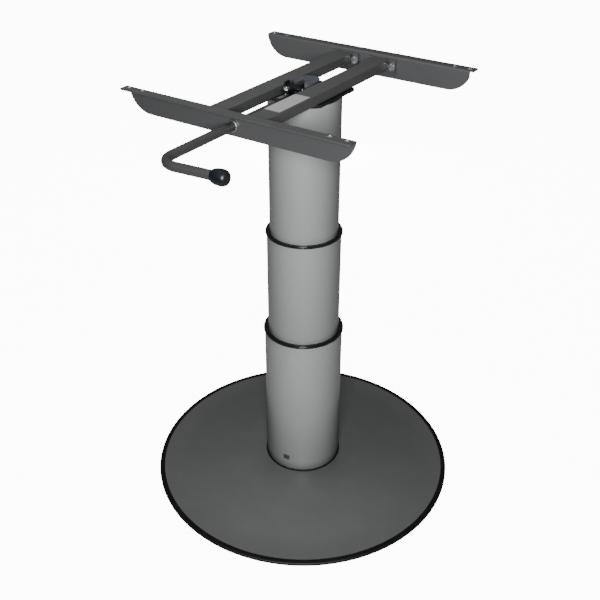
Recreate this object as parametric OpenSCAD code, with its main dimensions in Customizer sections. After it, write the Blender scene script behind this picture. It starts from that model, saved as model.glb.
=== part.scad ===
// Telescoping pedestal table: a dished foot, a column of three round tubes that slide in one
// another on a two-stage gas spring, and a frame of two rails and two cross tubes for a table top.
// Millimetres, +Z up. The origin is on the floor, on the column's axis. X runs along the rails,
// Y runs along the cross tubes, and the column is drawn fully extended.

/* [Base] */
// Radius of the steel base plate
plate_r = 248.8; // [200:0.1:300]
// Sheet thickness of the base plate
plate_t = 2.5; // [2:0.5:5]
// Height of the plate's centre above its rim
plate_rise = 16.1; // [13:0.1:30]
// Radius of the flat seat under the column
seat_r = 78; // [70:1:110]
// Width of the flat rim
rim_w = 14; // [10:1:30]
// Thickness of the edge trim's upper lip
trim_t = 0.8; // [0.6:0.1:2]
// Thickness of the edge trim's foot, under the plate
trim_foot = 3.2; // [1:0.1:5]
// Width of the edge trim's lips
trim_lip = 6.6; // [5:0.1:10]
// Rubber outside the plate's edge
trim_edge = 2; // [1:0.5:5]

/* [Column tubes] */
// Outer tube's outside diameter
outer_d = 124; // [121:0.5:130]
// Outer tube's wall
outer_wall = 2.5; // [2:0.1:3]
// Outer tube's length
outer_l = 251.4; // [245:0.1:300]
// Middle tube's outside diameter
mid_d = 113; // [110:0.5:115]
// Middle tube's wall
mid_wall = 2.2; // [1.5:0.1:2.6]
// Middle tube's visible length, extended
mid_show = 168.8; // [168:0.1:190]
// Top tube's outside diameter
top_d = 104; // [100:0.5:105]
// Top tube's wall
top_wall = 2; // [1.5:0.1:3]
// Top tube's visible length, extended
top_show = 206.6; // [180:0.1:230]
// Travel of each of the two sliding tubes
stage_travel = 166; // [100:1:166]
// Thickness of the gasket under the column
gasket_t = 2; // [1:0.5:4]
// Gasket's width outside the tube
gasket_proud = 1.8; // [0.5:0.1:3]

/* [Collars and guides] */
// Thickness of a collar's rim
collar_t = 3.4; // [2.5:0.1:6]
// Rim's width outside its tube
collar_proud = 1.9; // [1:0.1:3]
// Rounding of a rim's outer edge
collar_round = 1.5; // [0.5:0.1:2]
// Length of a collar's sleeve
sleeve_l = 38; // [20:1:38]
// Height of a guide ring on its tube
ring_h = 25; // [15:1:25]
// Thickness of a guide ring's lip
ring_lip = 3; // [2:0.5:4]
// Width of a key strip
key_w = 10; // [6:1:14]
// Share of the space between two tubes that a key fills
key_share = 0.75; // [0.5:0.05:0.8]

/* [Foot] */
// Thickness of the foot disc
foot_t = 8; // [6:1:10]
// Number of foot screws
foot_screws_n = 6; // [4:1:8]
// Radius of the foot screws' circle
foot_screw_ring = 45; // [35:1:48]
// Foot screws' thread diameter
foot_screw_d = 8; // [5:1:10]
// Direction of the plug around the column, in degrees
plug_angle = -83; // [-180:1:180]
// Plug's width
plug_w = 11; // [5:1:16]
// Plug's height
plug_h = 11; // [4:1:12]
// Plug's height above the column's foot
plug_up = 22.6; // [15:0.2:40]

/* [Gas spring] */
// Piston rod's diameter
rod_d = 14; // [10:1:16]
// Spring's middle tube, outside diameter
stage_d = 30; // [26:1:32]
// Spring cylinder's outside diameter
cylinder_d = 40; // [38:1:48]
// Wall of the spring's tubes
spring_wall = 2; // [1.5:0.1:2.5]
// Length of the spring's seals
seal_l = 12; // [8:1:14]
// Length of the spring's pistons
piston_l = 8; // [5:1:10]
// Length that stays in the next tube, extended
spring_overlap = 30; // [25:1:36]
// Cylinder neck's diameter
neck_d = 24; // [20:1:28]

/* [Head] */
// Thickness of the disc in the top tube's end
disc_t = 8; // [6:1:12]
// Head plate's width
head_plate_w = 96; // [90:1:110]
// Head plate's length
head_plate_l = 98; // [92:1:110]
// Head plate's shift to the far side
head_plate_shift = 6; // [0:1:8]
// Head plate's thickness
head_plate_t = 4; // [3:0.5:6]
// Cut across the head plate's near corners
head_plate_cut = 9; // [4:1:16]
// Cut across the head plate's far corners
head_plate_far_cut = 3; // [1:1:16]
// Head plate screws' thread diameter
plate_screw_d = 6; // [4:1:6]
// Release head's diameter
head_d = 32; // [30:1:34]
// Release head's length behind the column's axis
head_back = 8; // [0:1:10]
// Release head's height
head_h = 16; // [15.5:0.1:17]

/* [Frame] */
// Length of a rail
rail_l = 354; // [300:1:500]
// Distance between the rails' webs
rail_span = 316; // [280:1:400]
// Height of a rail
rail_h = 33; // [32:0.5:45]
// Rail's sheet thickness
rail_t = 2; // [1.5:0.5:4]
// Width of a rail's flange
flange_w = 17; // [13:0.5:30]
// Radius of a web's curved ends
rail_end_r = 36; // [34:1:60]
// Distance that one end's curve starts further in
web_inset = 3; // [0:0.5:10]
// Distance from that end to its short upright edge
web_flat = 5.6; // [0:0.1:12]
// Outside radius of a rail's fold
fold_r = 3; // [1.5:0.1:3]
// Diameter of the table top's screw holes
top_hole_d = 7; // [3:0.5:8]
// Distance from a rail's end to its first screw hole
top_hole_end = 9; // [5:0.5:12]
// Distance between the two screw holes at an end
top_hole_pitch = 23.5; // [15:0.5:40]
// Centre of a table top screw hole from the folded edge
top_hole_in = 7; // [6:0.5:12]
// Width of a cross tube
tube_w = 27; // [22:1:34]
// Height of a cross tube
tube_h = 15; // [14.5:0.5:15]
// Wall of a cross tube
tube_wall = 1.5; // [1:0.5:2.5]
// Corner radius of a cross tube
tube_corner = 2; // [1.6:0.1:3]
// Space between the cross tubes
tube_gap = 36; // [35:1:44]
// Height of the rails' top above the cross tubes
tube_drop = 4.5; // [4:0.5:8]
// Thickness of an end plate
end_plate_t = 3; // [2:0.5:5]
// End plate's width beside its tube
end_plate_wing = 10; // [10:0.5:12]
// End plate's depth below its tube
end_plate_drop = 4.5; // [2:0.5:6]
// Rail bolts' thread diameter
bolt_d = 6; // [4:1:6]

/* [Release lever] */
// Lever rod's diameter
shaft_d = 12; // [10:0.5:12]
// Shaft axis' depth below the rails' top
shaft_drop = 18.9; // [18.5:0.1:19.5]
// Distance from the column's axis to the lever's corner
lever_reach = 302; // [250:1:400]
// Radius of the lever's bend
bend_r = 24; // [10:1:26]
// Inward lean of the lever's handle, in degrees
lever_lean = 6; // [0:1:20]
// Distance from the bend to the knob
handle_l = 48; // [40:1:120]
// Knob's length
knob_l = 21.7; // [20:0.1:50]
// Knob's diameter
knob_d = 19.7; // [18:0.1:35]
// Depth of the rod in the knob
knob_bore_l = 14; // [10:1:16]

/* [Release linkage] */
// Crank finger's diameter
finger_d = 5; // [4:0.5:5]
// Finger's distance beside the shaft's axis
finger_side = 6; // [5.5:0.1:6.5]
// Finger's height above the shaft's axis
finger_rise = 3.2; // [3:0.1:3.6]
// Crank's wall round the shaft and the finger
crank_wall = 1.5; // [1:0.1:3]
// Pivot pin's diameter
pivot_d = 4; // [3:0.5:5]
// Pivot's distance from the column's axis
pivot_out = 20; // [19.5:0.1:21]
// Pivot's height above the head plate
pivot_up = 10.2; // [10:0.1:10.6]
// Adjusting screw's distance from the column's axis
screw_out = 36; // [34:0.5:38]
// Valve pin's diameter
valve_d = 6; // [4:0.5:6]

/* [Fits] */
// Radial clearance of parts that slide or turn
run_gap = 0.1; // [0.05:0.01:0.1]
// Clearance of parts fixed in one another
seat_gap = 0.05; // [0.02:0.01:0.1]
// Gap left at a stop
stop_gap = 0.3; // [0.2:0.1:0.5]

/* [Hidden] */
$fn = 96;
// Overrun of every cut
cut = 1;
// Half a turn, for the cosines and arcs
half_turn = 180;

// Base
trim_r = plate_r + trim_edge;
rim_top = trim_foot + plate_t;
seat_top = rim_top + plate_rise;
rim_r = plate_r - rim_w;
dish_steps = 18;
dish_blend_share = 0.25;
trim_side_steps = 8;

// Radii of the column
outer_r = outer_d / 2;
outer_bore_r = outer_r - outer_wall;
mid_r = mid_d / 2;
mid_bore_r = mid_r - mid_wall;
top_r = top_d / 2;
top_bore_r = top_r - top_wall;

// Heights of the column, from the floor
foot_z = seat_top + gasket_t;
outer_top = foot_z + outer_l;
mid_top = outer_top + collar_t + mid_show;
top_top = mid_top + collar_t + top_show;
mid_bottom = outer_top - sleeve_l - stop_gap - ring_h;
top_bottom = mid_top - sleeve_l - stop_gap - ring_h;
foot_disc_top = foot_z + foot_t;
carrier_t = 5;
carrier_z = mid_bottom - ring_lip;
carrier_top = carrier_z + carrier_t;
key_end_gap = 1;
collar_steps = 6;

// Keys, thinner than the space that they stand in
outer_key_t = key_share * (outer_bore_r - mid_r);
mid_key_t = key_share * (mid_bore_r - top_r);
key_gap = 0.25;
gasket_bore_r = 24;

// Hexagons as shares of their thread: corner radius, height of a head, corner radius of a thin nut
hex_share = 0.96;
hex_height_share = 0.66;
thin_nut_share = 0.865;
foot_head_r = foot_screw_d * hex_share;
foot_head_h = foot_screw_d * hex_height_share;

// Gas spring
rod_r = rod_d / 2;
stage_r = stage_d / 2;
stage_bore_r = stage_r - spring_wall;
cylinder_r = cylinder_d / 2;
cylinder_bore_r = cylinder_r - spring_wall;
neck_r = neck_d / 2;
rod_nut_h = 8;
rod_nut_r = rod_d * thin_nut_share;
clip_t = 2;
clip_w = 3;
spring_slack = 2;
rod_top = carrier_z + seal_l + spring_overlap;
cylinder_bottom = carrier_top + clip_t + stage_travel + spring_slack * 2;
stage_top = cylinder_bottom + seal_l + spring_overlap;
valve_bore_l = 17;
cylinder_end_t = 7;

// Head
disc_z = top_top - disc_t;
cylinder_top = disc_z - seat_gap;
plate_z = top_top;
plate_top = plate_z + head_plate_t;
neck_l = 3;
neck_top = plate_top + neck_l;
slot_floor = plate_top + neck_l + clip_t;
slot_w = 9;
slot_back = 6;
plate_screw_x = 11;
plate_screw_y = 32;
sink_d = 11;
sink_h = 2.5;
plate_screw_l = 11;

// Frame
tube_top = plate_top + tube_h;
rail_top = tube_top + tube_drop;
rail_bottom = rail_top - rail_h;
tube_in = tube_gap / 2;
tube_out = tube_in + tube_w;
web_in = rail_span / 2;
web_out = web_in + rail_t;
flange_out = web_in + flange_w;
rail_end = rail_l / 2;
flange_corner = 2.5;
top_hole_y = web_in + top_hole_in;
bolt_z = (tube_top + plate_top - end_plate_drop) / 2;
bolt_side_share = 0.55;
bolt_side = end_plate_wing * bolt_side_share;
bolt_head_r = bolt_d * hex_share;
bolt_head_h = bolt_d * hex_height_share;
washer_t = 1.4;
washer_r = bolt_d;
bolt_tip = 1.6;
label_w = 24;
label_l = 69;
label_t = 0.3;
label_y = -87;

// Release lever
shaft_r = shaft_d / 2;
shaft_z = rail_top - shaft_drop;
handle_step = 0.05;
handle_root = 0.5;
bush_wall = 2;
bush_r = shaft_r + bush_wall;
bush_out = 3.5;
bush_in = 5;
block_y = -71;
block_t = 10;
block_wall = 2;
crank_t = 4;
crank_y = block_y + block_t / 2 + stop_gap;
bend_turn = 90 + lever_lean;
bend_tangent = bend_r * tan(bend_turn / 2);
bend_y = -lever_reach + bend_tangent;
// The handle is a hair thinner than the bend, and starts inside it
handle_r = shaft_r - handle_step;
shaft_clip_w = 2.8;
shaft_clip_t = 1.6;
// Knob's outline: share of the length, then share of the radius
knob_shares = [
    [0, 0.7], [0.05, 0.78], [0.14, 0.86], [0.26, 0.94], [0.4, 0.985], [0.54, 1], [0.68, 0.985],
    [0.8, 0.93], [0.89, 0.84], [0.955, 0.7], [0.99, 0.54], [1, 0.4], [1, 0]
];

// Release linkage
finger_z = shaft_z + finger_rise;
finger_top = finger_z + finger_d / 2;
finger_past = 3;
finger_y = -screw_out + finger_past;
pivot_z = plate_top + pivot_up;
ear_t = 2.5;
ear_w = 10;
ear_left = -17;
ear_right = 7;
ear_past = 2;
ear_h = head_h + ear_past;
pin_past = 0.8;
rocker_t = 4;
rocker_boss_r = 4.2;
rocker_arm_w = 10;
rocker_nose_w = 7;
rocker_bottom = pivot_z - rocker_t / 2;
rocker_top = pivot_z + rocker_t / 2;
rocker_tail = 5;
adjust_d = 5;
adjust_nut_r = adjust_d * thin_nut_share;
adjust_nut_h = 2.8;
adjust_tip = 0.6;
valve_top = rocker_bottom - stop_gap;
valve_l = 17.6;

// Pieces that repeat

// A round tube that stands on z = 0
module pipe(r, bore, length) {
    difference() {
        cylinder(h = length, r = r);
        translate([0, 0, -cut]) cylinder(h = length + 2 * cut, r = bore);
    }
}

// A hexagonal prism that stands on z = 0, two of its flats facing along X
module hex(r, h) {
    rotate([0, 0, 30]) cylinder(h = h, r = r, $fn = 6);
}

// Children repeated at the foot screws' places
module at_foot_screws() {
    for (i = [0 : foot_screws_n - 1])
        rotate([0, 0, i * 2 * half_turn / foot_screws_n]) translate([foot_screw_ring, 0, 0]) children();
}

// Children repeated at the four head plate screws
module at_plate_screws() {
    for (sx = [-1, 1], sy = [-1, 1])
        translate([sx * plate_screw_x, sy * plate_screw_y, 0]) children();
}

// Children repeated at the four rail bolts, with +Z of the child along +Y
module at_rail_bolts(y) {
    for (s = [-1, 1], x = [tube_in - bolt_side, tube_out + bolt_side])
        translate([s * x, y, bolt_z]) rotate([-90, 0, 0]) children();
}

// A solid along Y made from an outline in X and Z
module along_y(y0, y1) {
    translate([0, y1, 0]) rotate([90, 0, 0]) linear_extrude(y1 - y0) children();
}

// A rectangle with round corners, centred
module round_rect(w, h, r) {
    square([w - 2 * r, h], center = true);
    square([w, h - 2 * r], center = true);
    for (sx = [-1, 1], sy = [-1, 1])
        translate([sx * (w / 2 - r), sy * (h / 2 - r)]) circle(r = r);
}

// Share of the dish's rise at share t of the way in: level at both ends and straight between
function dish_share(t) =
    let (b = dish_blend_share, k = 1 / (1 - b))
    t < b ? k * t * t / (2 * b)
    : t > 1 - b ? 1 - k * (1 - t) * (1 - t) / (2 * b)
    : k * (t - b / 2);

// The dish's upper outline from the seat out to the rim
function dish_points(z) = [
    for (i = [0 : dish_steps])
        let (t = 1 - i / dish_steps)
        [rim_r - t * (rim_r - seat_r), z + plate_rise * dish_share(t)]
];

// A quarter of a round edge, from its top to its side
function edge_points(r, z, radius, steps) = [
    for (i = [0 : steps])
        let (a = 90 - 90 * i / steps)
        [r - radius + radius * cos(a), z - radius + radius * sin(a)]
];

// A collar: its rim sits on a tube's end and its sleeve hangs inside, round the next tube
module collar(tube_r, bore_r, inner_r) {
    rim_r = tube_r + collar_proud;
    guide_r = inner_r + run_gap;
    rotate_extrude() polygon(concat(
        [[guide_r, collar_t]],
        edge_points(rim_r, collar_t, collar_round, collar_steps),
        [
            [rim_r, 0], [bore_r - seat_gap, 0], [bore_r - seat_gap, -sleeve_l],
            [guide_r, -sleeve_l]
        ]
    ));
}

// A guide ring round the foot of a tube, notched for the key in the bore that it slides in
module guide_ring(tube_r, wall, bore_r, key_t) {
    slide_r = bore_r - run_gap;
    difference() {
        rotate_extrude() polygon([
            [tube_r + seat_gap, ring_h], [slide_r, ring_h], [slide_r, -ring_lip],
            [tube_r - wall, -ring_lip], [tube_r - wall, -seat_gap], [tube_r + seat_gap, -seat_gap]
        ]);
        translate([-key_w / 2 - key_gap, bore_r - key_t - key_gap, -ring_lip - cut])
            cube([key_w + 2 * key_gap, key_t + key_gap + cut, ring_h + ring_lip + 2 * cut]);
    }
}

// A key strip on a bore's wall, at the back
module key(bore_r, key_t, length) {
    intersection() {
        pipe(bore_r - seat_gap, bore_r - key_t, length);
        translate([-key_w / 2, 0, -cut]) cube([key_w, bore_r + cut, length + 2 * cut]);
    }
}

// A rail: folded sheet, web at web_in and flange outwards, drawn at the far side
module rail() {
    difference() {
        rotate([90, 0, 90]) linear_extrude(rail_l, center = true) rail_section();
        for (s = [-1, 1]) {
            along_y(web_in - cut, flange_out + cut) rail_end_cut(s);
            translate([0, 0, rail_top - rail_t - cut]) linear_extrude(rail_t + 2 * cut) flange_corner_cut(s);
            for (d = [top_hole_end, top_hole_end + top_hole_pitch])
                translate([s * (rail_end - d), top_hole_y, rail_top - rail_t - cut])
                    cylinder(h = rail_t + 2 * cut, d = top_hole_d);
        }
    }
}

// The folded section, in Y and Z
module rail_section() {
    difference() {
        translate([web_in, rail_bottom]) square([flange_w, rail_h]);
        translate([web_out, rail_bottom - cut]) square([flange_w, rail_h - rail_t + cut]);
        difference() {
            translate([web_in - cut, rail_top - fold_r]) square([fold_r + cut, fold_r + cut]);
            translate([web_in + fold_r, rail_top - fold_r]) circle(r = fold_r);
        }
    }
}

// What a web's curved end leaves out, in X and Z
module rail_end_cut(s) {
    centre = rail_end - rail_end_r - (s > 0 ? web_inset : 0);
    difference() {
        translate([s > 0 ? centre : -rail_end - cut, rail_bottom - cut])
            square([rail_end - centre + cut, rail_h - rail_t + cut]);
        translate([s * centre, rail_bottom + rail_end_r]) circle(r = rail_end_r);
    }
    if (s > 0)
        translate([rail_end - web_flat, rail_bottom - cut]) square([web_flat + cut, rail_h - rail_t + cut]);
}

// What a flange's round corner leaves out, in X and Y
module flange_corner_cut(s) {
    c = flange_corner;
    difference() {
        translate([s > 0 ? rail_end - c : -rail_end - cut, flange_out - c]) square([c + cut, c + cut]);
        translate([s * (rail_end - c), flange_out - c]) circle(r = c);
    }
}

// A cross tube, centred on X = 0
module cross_tube() {
    along_y(-web_in, web_in - end_plate_t) translate([0, tube_top - tube_h / 2]) difference() {
        round_rect(tube_w, tube_h, tube_corner);
        round_rect(tube_w - 2 * tube_wall, tube_h - 2 * tube_wall, tube_corner - tube_wall);
    }
}

// Children placed on the lever's handle, with +Z along the handle from the end of its bend
module on_handle(distance) {
    translate([bend_r, bend_y, shaft_z]) rotate([0, 0, lever_lean]) translate([0, -bend_r, 0])
        rotate([0, 90, 0]) translate([0, 0, distance]) children();
}

// Nodes of the foot and the outer tube

module base_plate() {
    color("#4a4c4d") difference() {
        rotate_extrude() polygon(concat(
            [[0, seat_top]],
            dish_points(rim_top),
            [[plate_r, rim_top], [plate_r, rim_top - plate_t]],
            [for (i = [0 : dish_steps]) dish_points(rim_top - plate_t)[dish_steps - i]],
            [[0, seat_top - plate_t]]
        ));
        at_foot_screws() cylinder(h = seat_top + cut, d = foot_screw_d + 2 * key_gap);
    }
}

module edge_trim() {
    half_h = rim_top / 2 + trim_t / 2;
    color("#141414") rotate_extrude() polygon(concat(
        [[plate_r - trim_lip, rim_top + trim_t]],
        [
            for (i = [0 : trim_side_steps])
                let (a = 90 - half_turn * i / trim_side_steps)
                [trim_r - half_h + half_h * cos(a), half_h + half_h * sin(a)]
        ],
        [
            [plate_r - trim_lip, 0], [plate_r - trim_lip, trim_foot],
            [plate_r, trim_foot], [plate_r, rim_top], [plate_r - trim_lip, rim_top]
        ]
    ));
}

module foot_gasket() {
    color("#161616") translate([0, 0, seat_top]) difference() {
        pipe(outer_r + gasket_proud, gasket_bore_r, gasket_t);
        at_foot_screws() translate([0, 0, -cut])
            cylinder(h = gasket_t + 2 * cut, d = foot_screw_d + 2 * key_gap);
    }
}

module foot_screws() {
    head_z = seat_top - plate_t - foot_head_h;
    color("#8d8f92") at_foot_screws() {
        translate([0, 0, head_z]) hex(foot_head_r, foot_head_h);
        translate([0, 0, head_z]) cylinder(h = foot_disc_top - head_z, d = foot_screw_d);
    }
}

module foot_disc() {
    color("#777a7c") translate([0, 0, foot_z]) difference() {
        pipe(outer_bore_r - seat_gap, rod_r + seat_gap, foot_t);
        at_foot_screws() translate([0, 0, -cut])
            cylinder(h = foot_t + 2 * cut, r = foot_screw_d / 2 + seat_gap);
    }
}

module plug_space(depth, gap) {
    low = foot_z + plug_up - plug_h / 2;
    rotate([0, 0, plug_angle]) translate([outer_r - depth, -plug_w / 2 + gap, low + gap])
        cube([depth + cut, plug_w - 2 * gap, plug_h - 2 * gap]);
}

module outer_tube() {
    color("#9ea3a1") difference() {
        translate([0, 0, foot_z]) pipe(outer_r, outer_bore_r, outer_l);
        plug_space(outer_wall + cut, 0);
    }
}

module slot_plug() {
    color("#2c2e2f") intersection() {
        translate([0, 0, foot_z]) pipe(outer_r - stop_gap, outer_bore_r + seat_gap, outer_l);
        plug_space(outer_wall + cut, seat_gap);
    }
}

module outer_key() {
    z = foot_disc_top + key_end_gap;
    color("#c8c6bc") translate([0, 0, z])
        key(outer_bore_r, outer_key_t, outer_top - sleeve_l - key_end_gap - z);
}

module lower_collar() {
    color("#101112") translate([0, 0, outer_top]) collar(outer_r, outer_bore_r, mid_r);
}

module spring_rod() {
    color("#c9ccd0") translate([0, 0, foot_z]) cylinder(h = rod_top - foot_z, r = rod_r);
}

module rod_piston() {
    color("#55585c") translate([0, 0, rod_top - spring_slack - piston_l])
        pipe(stage_bore_r - run_gap, rod_r + seat_gap, piston_l);
}

module rod_nut() {
    color("#8d8f92") translate([0, 0, foot_disc_top]) difference() {
        hex(rod_nut_r, rod_nut_h);
        translate([0, 0, -cut]) cylinder(h = rod_nut_h + 2 * cut, r = rod_r + seat_gap);
    }
}

// Nodes of the middle stage

module mid_tube() {
    color("#9ea3a1") translate([0, 0, mid_bottom]) pipe(mid_r, mid_bore_r, mid_top - mid_bottom);
}

module mid_guide_ring() {
    color("#e4e0d2") translate([0, 0, mid_bottom]) guide_ring(mid_r, mid_wall, outer_bore_r, outer_key_t);
}

module mid_carrier() {
    color("#777a7c") translate([0, 0, carrier_z]) pipe(mid_bore_r - seat_gap, stage_r + seat_gap, carrier_t);
}

module mid_key() {
    z = carrier_top + key_end_gap;
    color("#c8c6bc") translate([0, 0, z])
        key(mid_bore_r, mid_key_t, mid_top - sleeve_l - key_end_gap - z);
}

module upper_collar() {
    color("#101112") translate([0, 0, mid_top]) collar(mid_r, mid_bore_r, top_r);
}

module spring_mid_tube() {
    color("#b4b7ba") translate([0, 0, carrier_z]) pipe(stage_r, stage_bore_r, stage_top - carrier_z);
}

module spring_mid_seal() {
    color("#232425") translate([0, 0, carrier_z]) pipe(stage_bore_r - seat_gap, rod_r + run_gap, seal_l);
}

module spring_mid_piston() {
    color("#55585c") translate([0, 0, stage_top]) {
        cylinder(h = piston_l, r = cylinder_bore_r - run_gap);
        translate([0, 0, -spring_slack]) cylinder(h = spring_slack, r = stage_bore_r - seat_gap);
    }
}

module spring_mid_clip() {
    color("#8d8f92") translate([0, 0, carrier_top]) pipe(stage_r + clip_w, stage_r + seat_gap, clip_t);
}

// Nodes of the top stage

module top_tube() {
    color("#9ea3a1") translate([0, 0, top_bottom]) pipe(top_r, top_bore_r, top_top - top_bottom);
}

module top_guide_ring() {
    color("#e4e0d2") translate([0, 0, top_bottom]) guide_ring(top_r, top_wall, mid_bore_r, mid_key_t);
}

module top_disc() {
    color("#777a7c") translate([0, 0, disc_z]) difference() {
        pipe(top_bore_r - seat_gap, neck_r + seat_gap, disc_t);
        at_plate_screws() translate([0, 0, -cut])
            cylinder(h = disc_t + 2 * cut, r = plate_screw_d / 2 + seat_gap);
    }
}

module spring_cylinder() {
    bore_top = cylinder_top - cylinder_end_t;
    color("#1d1e20") difference() {
        union() {
            translate([0, 0, cylinder_bottom]) cylinder(h = cylinder_top - cylinder_bottom, r = cylinder_r);
            translate([0, 0, cylinder_bottom]) cylinder(h = neck_top - cylinder_bottom, r = neck_r);
        }
        translate([0, 0, cylinder_bottom - cut])
            cylinder(h = bore_top - cylinder_bottom + cut, r = cylinder_bore_r);
        translate([0, 0, neck_top - valve_bore_l])
            cylinder(h = valve_bore_l + cut, r = valve_d / 2 + run_gap);
    }
}

module spring_cylinder_seal() {
    color("#232425") translate([0, 0, cylinder_bottom])
        pipe(cylinder_bore_r - seat_gap, stage_r + run_gap, seal_l);
}

module head_plate() {
    w = head_plate_w / 2;
    near = head_plate_shift - head_plate_l / 2;
    far = head_plate_shift + head_plate_l / 2;
    c = head_plate_cut;
    d = head_plate_far_cut;
    color("#0d0e0e") translate([0, 0, plate_z]) difference() {
        linear_extrude(head_plate_t) polygon([
            [-w + c, near], [w - c, near], [w, near + c], [w, far - d],
            [w - d, far], [-w + d, far], [-w, far - d], [-w, near + c]
        ]);
        translate([0, 0, -cut]) cylinder(h = head_plate_t + 2 * cut, r = neck_r + seat_gap);
        at_plate_screws() {
            translate([0, 0, -cut])
                cylinder(h = head_plate_t + 2 * cut, r = plate_screw_d / 2 + seat_gap);
            translate([0, 0, head_plate_t - sink_h])
                cylinder(h = sink_h, r1 = plate_screw_d / 2 + seat_gap, r2 = sink_d / 2 + seat_gap);
        }
    }
}

module plate_screws() {
    color("#2a2b2c") at_plate_screws() {
        translate([0, 0, plate_top - sink_h]) cylinder(h = sink_h, r1 = plate_screw_d / 2, r2 = sink_d / 2);
        translate([0, 0, plate_top - plate_screw_l])
            cylinder(h = plate_screw_l - sink_h / 2, d = plate_screw_d);
    }
}

module release_head() {
    color("#6d7480") difference() {
        translate([0, 0, plate_top]) linear_extrude(head_h) {
            circle(d = head_d);
            translate([-head_d / 2, 0]) square([head_d, head_back]);
            translate([0, head_back]) circle(d = head_d);
        }
        translate([0, 0, plate_top - cut]) cylinder(h = neck_l + cut + seat_gap, r = neck_r + seat_gap);
        translate([0, 0, plate_top]) cylinder(h = head_h, r = valve_d / 2 + run_gap);
        translate([-slot_w / 2, -head_d / 2 - cut, slot_floor])
            cube([slot_w, head_d / 2 + cut + slot_back, head_h]);
    }
}

module pivot_ears() {
    color("#3a3d40") for (x = [ear_left, ear_right]) difference() {
        translate([x, -pivot_out - ear_w / 2, plate_top]) cube([ear_t, ear_w, ear_h]);
        translate([x - cut, -pivot_out, pivot_z]) rotate([0, 90, 0])
            cylinder(h = ear_t + 2 * cut, r = pivot_d / 2 + seat_gap);
    }
}

module pivot_pin() {
    color("#c9ccd0") translate([ear_left - pin_past, -pivot_out, pivot_z]) rotate([0, 90, 0])
        cylinder(h = ear_right - ear_left + ear_t + 2 * pin_past, d = pivot_d);
}

module cross_tube_left() {
    color("#56574f") translate([-tube_in - tube_w / 2, 0, 0]) cross_tube();
}

module cross_tube_right() {
    color("#56574f") translate([tube_in + tube_w / 2, 0, 0]) cross_tube();
}

module near_rail() {
    color("#565859") difference() {
        rotate([0, 0, half_turn]) rail();
        translate([0, -web_in + cut, shaft_z]) rotate([90, 0, 0])
            cylinder(h = rail_t + 2 * cut, r = bush_r + seat_gap);
    }
}

module far_rail() {
    color("#565859") difference() {
        rail();
        at_rail_bolts(web_in - cut) cylinder(h = rail_t + 2 * cut, r = bolt_d / 2 + seat_gap);
    }
}

module end_plates() {
    color("#565859") for (s = [-1, 1]) difference() {
        translate([s * (tube_in + tube_out) / 2 - tube_w / 2 - end_plate_wing, web_in - end_plate_t,
                   plate_top - end_plate_drop])
            cube([tube_w + 2 * end_plate_wing, end_plate_t, tube_h + end_plate_drop]);
        at_rail_bolts(web_in - end_plate_t - cut)
            cylinder(h = end_plate_t + 2 * cut, r = bolt_d / 2 + seat_gap);
    }
}

module rail_bolts() {
    bolt_l = bolt_head_h + end_plate_t + rail_t + washer_t + bolt_head_h + bolt_tip;
    color("#c4c7ca") at_rail_bolts(web_in - end_plate_t - bolt_head_h) {
        cylinder(h = bolt_l, d = bolt_d);
        hex(bolt_head_r, bolt_head_h);
    }
}

module rail_washers() {
    color("#c4c7ca") at_rail_bolts(web_out) pipe(washer_r, bolt_d / 2 + seat_gap, washer_t);
}

module rail_nuts() {
    color("#c4c7ca") at_rail_bolts(web_out + washer_t) difference() {
        hex(bolt_head_r, bolt_head_h);
        translate([0, 0, -cut]) cylinder(h = bolt_head_h + 2 * cut, r = bolt_d / 2 + seat_gap);
    }
}

module shaft_bush() {
    length = bush_out + rail_t + bush_in;
    color("#c9ccd0") translate([0, -web_in + bush_in, shaft_z]) rotate([90, 0, 0])
        pipe(bush_r, shaft_r + run_gap, length);
}

module shaft_block() {
    r = shaft_r + block_wall;
    color("#151617") translate([0, block_y + block_t / 2, shaft_z]) rotate([90, 0, 0]) difference() {
        union() {
            cylinder(h = block_t, r = r);
            translate([0, -r, 0]) cube([tube_in - seat_gap, 2 * r, block_t]);
        }
        translate([0, 0, -cut]) cylinder(h = block_t + 2 * cut, r = shaft_r + run_gap);
    }
}

module blank_label() {
    color("#a3a3a3") translate([(tube_in + tube_out - label_w) / 2, label_y - label_l / 2, tube_top])
        cube([label_w, label_l, label_t]);
}

// Nodes of the release lever

module lever_rod() {
    color("#4d4e4a") {
        translate([0, crank_y, shaft_z]) rotate([90, half_turn, 0])
            cylinder(h = crank_y - bend_y, r = shaft_r);
        translate([bend_r, bend_y, shaft_z]) rotate([0, 0, half_turn])
            rotate_extrude(angle = bend_turn) translate([bend_r, 0]) circle(r = shaft_r);
        on_handle(-handle_root) cylinder(h = handle_root + handle_l + knob_bore_l, r = handle_r);
    }
}

module lever_knob() {
    color("#11151c") on_handle(handle_l) difference() {
        rotate_extrude() polygon(concat(
            [[0, 0]],
            [for (p = knob_shares) [p[1] * knob_d / 2, p[0] * knob_l]]
        ));
        translate([0, 0, -cut]) cylinder(h = knob_bore_l + cut + seat_gap, r = handle_r + seat_gap);
    }
}

module shaft_clip() {
    color("#8d8f92") translate([0, block_y - block_t / 2 - stop_gap, shaft_z]) rotate([90, 0, 0])
        pipe(shaft_r + shaft_clip_w, shaft_r + seat_gap, shaft_clip_t);
}

module crank_disc() {
    color("#3a3d40") translate([0, crank_y + crank_t, shaft_z]) rotate([90, 0, 0])
        linear_extrude(crank_t) {
            circle(r = shaft_r + crank_wall);
            translate([-finger_side, finger_rise]) circle(r = finger_d / 2 + crank_wall);
        }
}

module crank_finger() {
    y = crank_y + crank_t;
    color("#d3d6d9") translate([-finger_side, finger_y, finger_z]) rotate([90, 0, 0])
        cylinder(h = finger_y - y, d = finger_d);
}

// Nodes of the rocker and the valve

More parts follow.
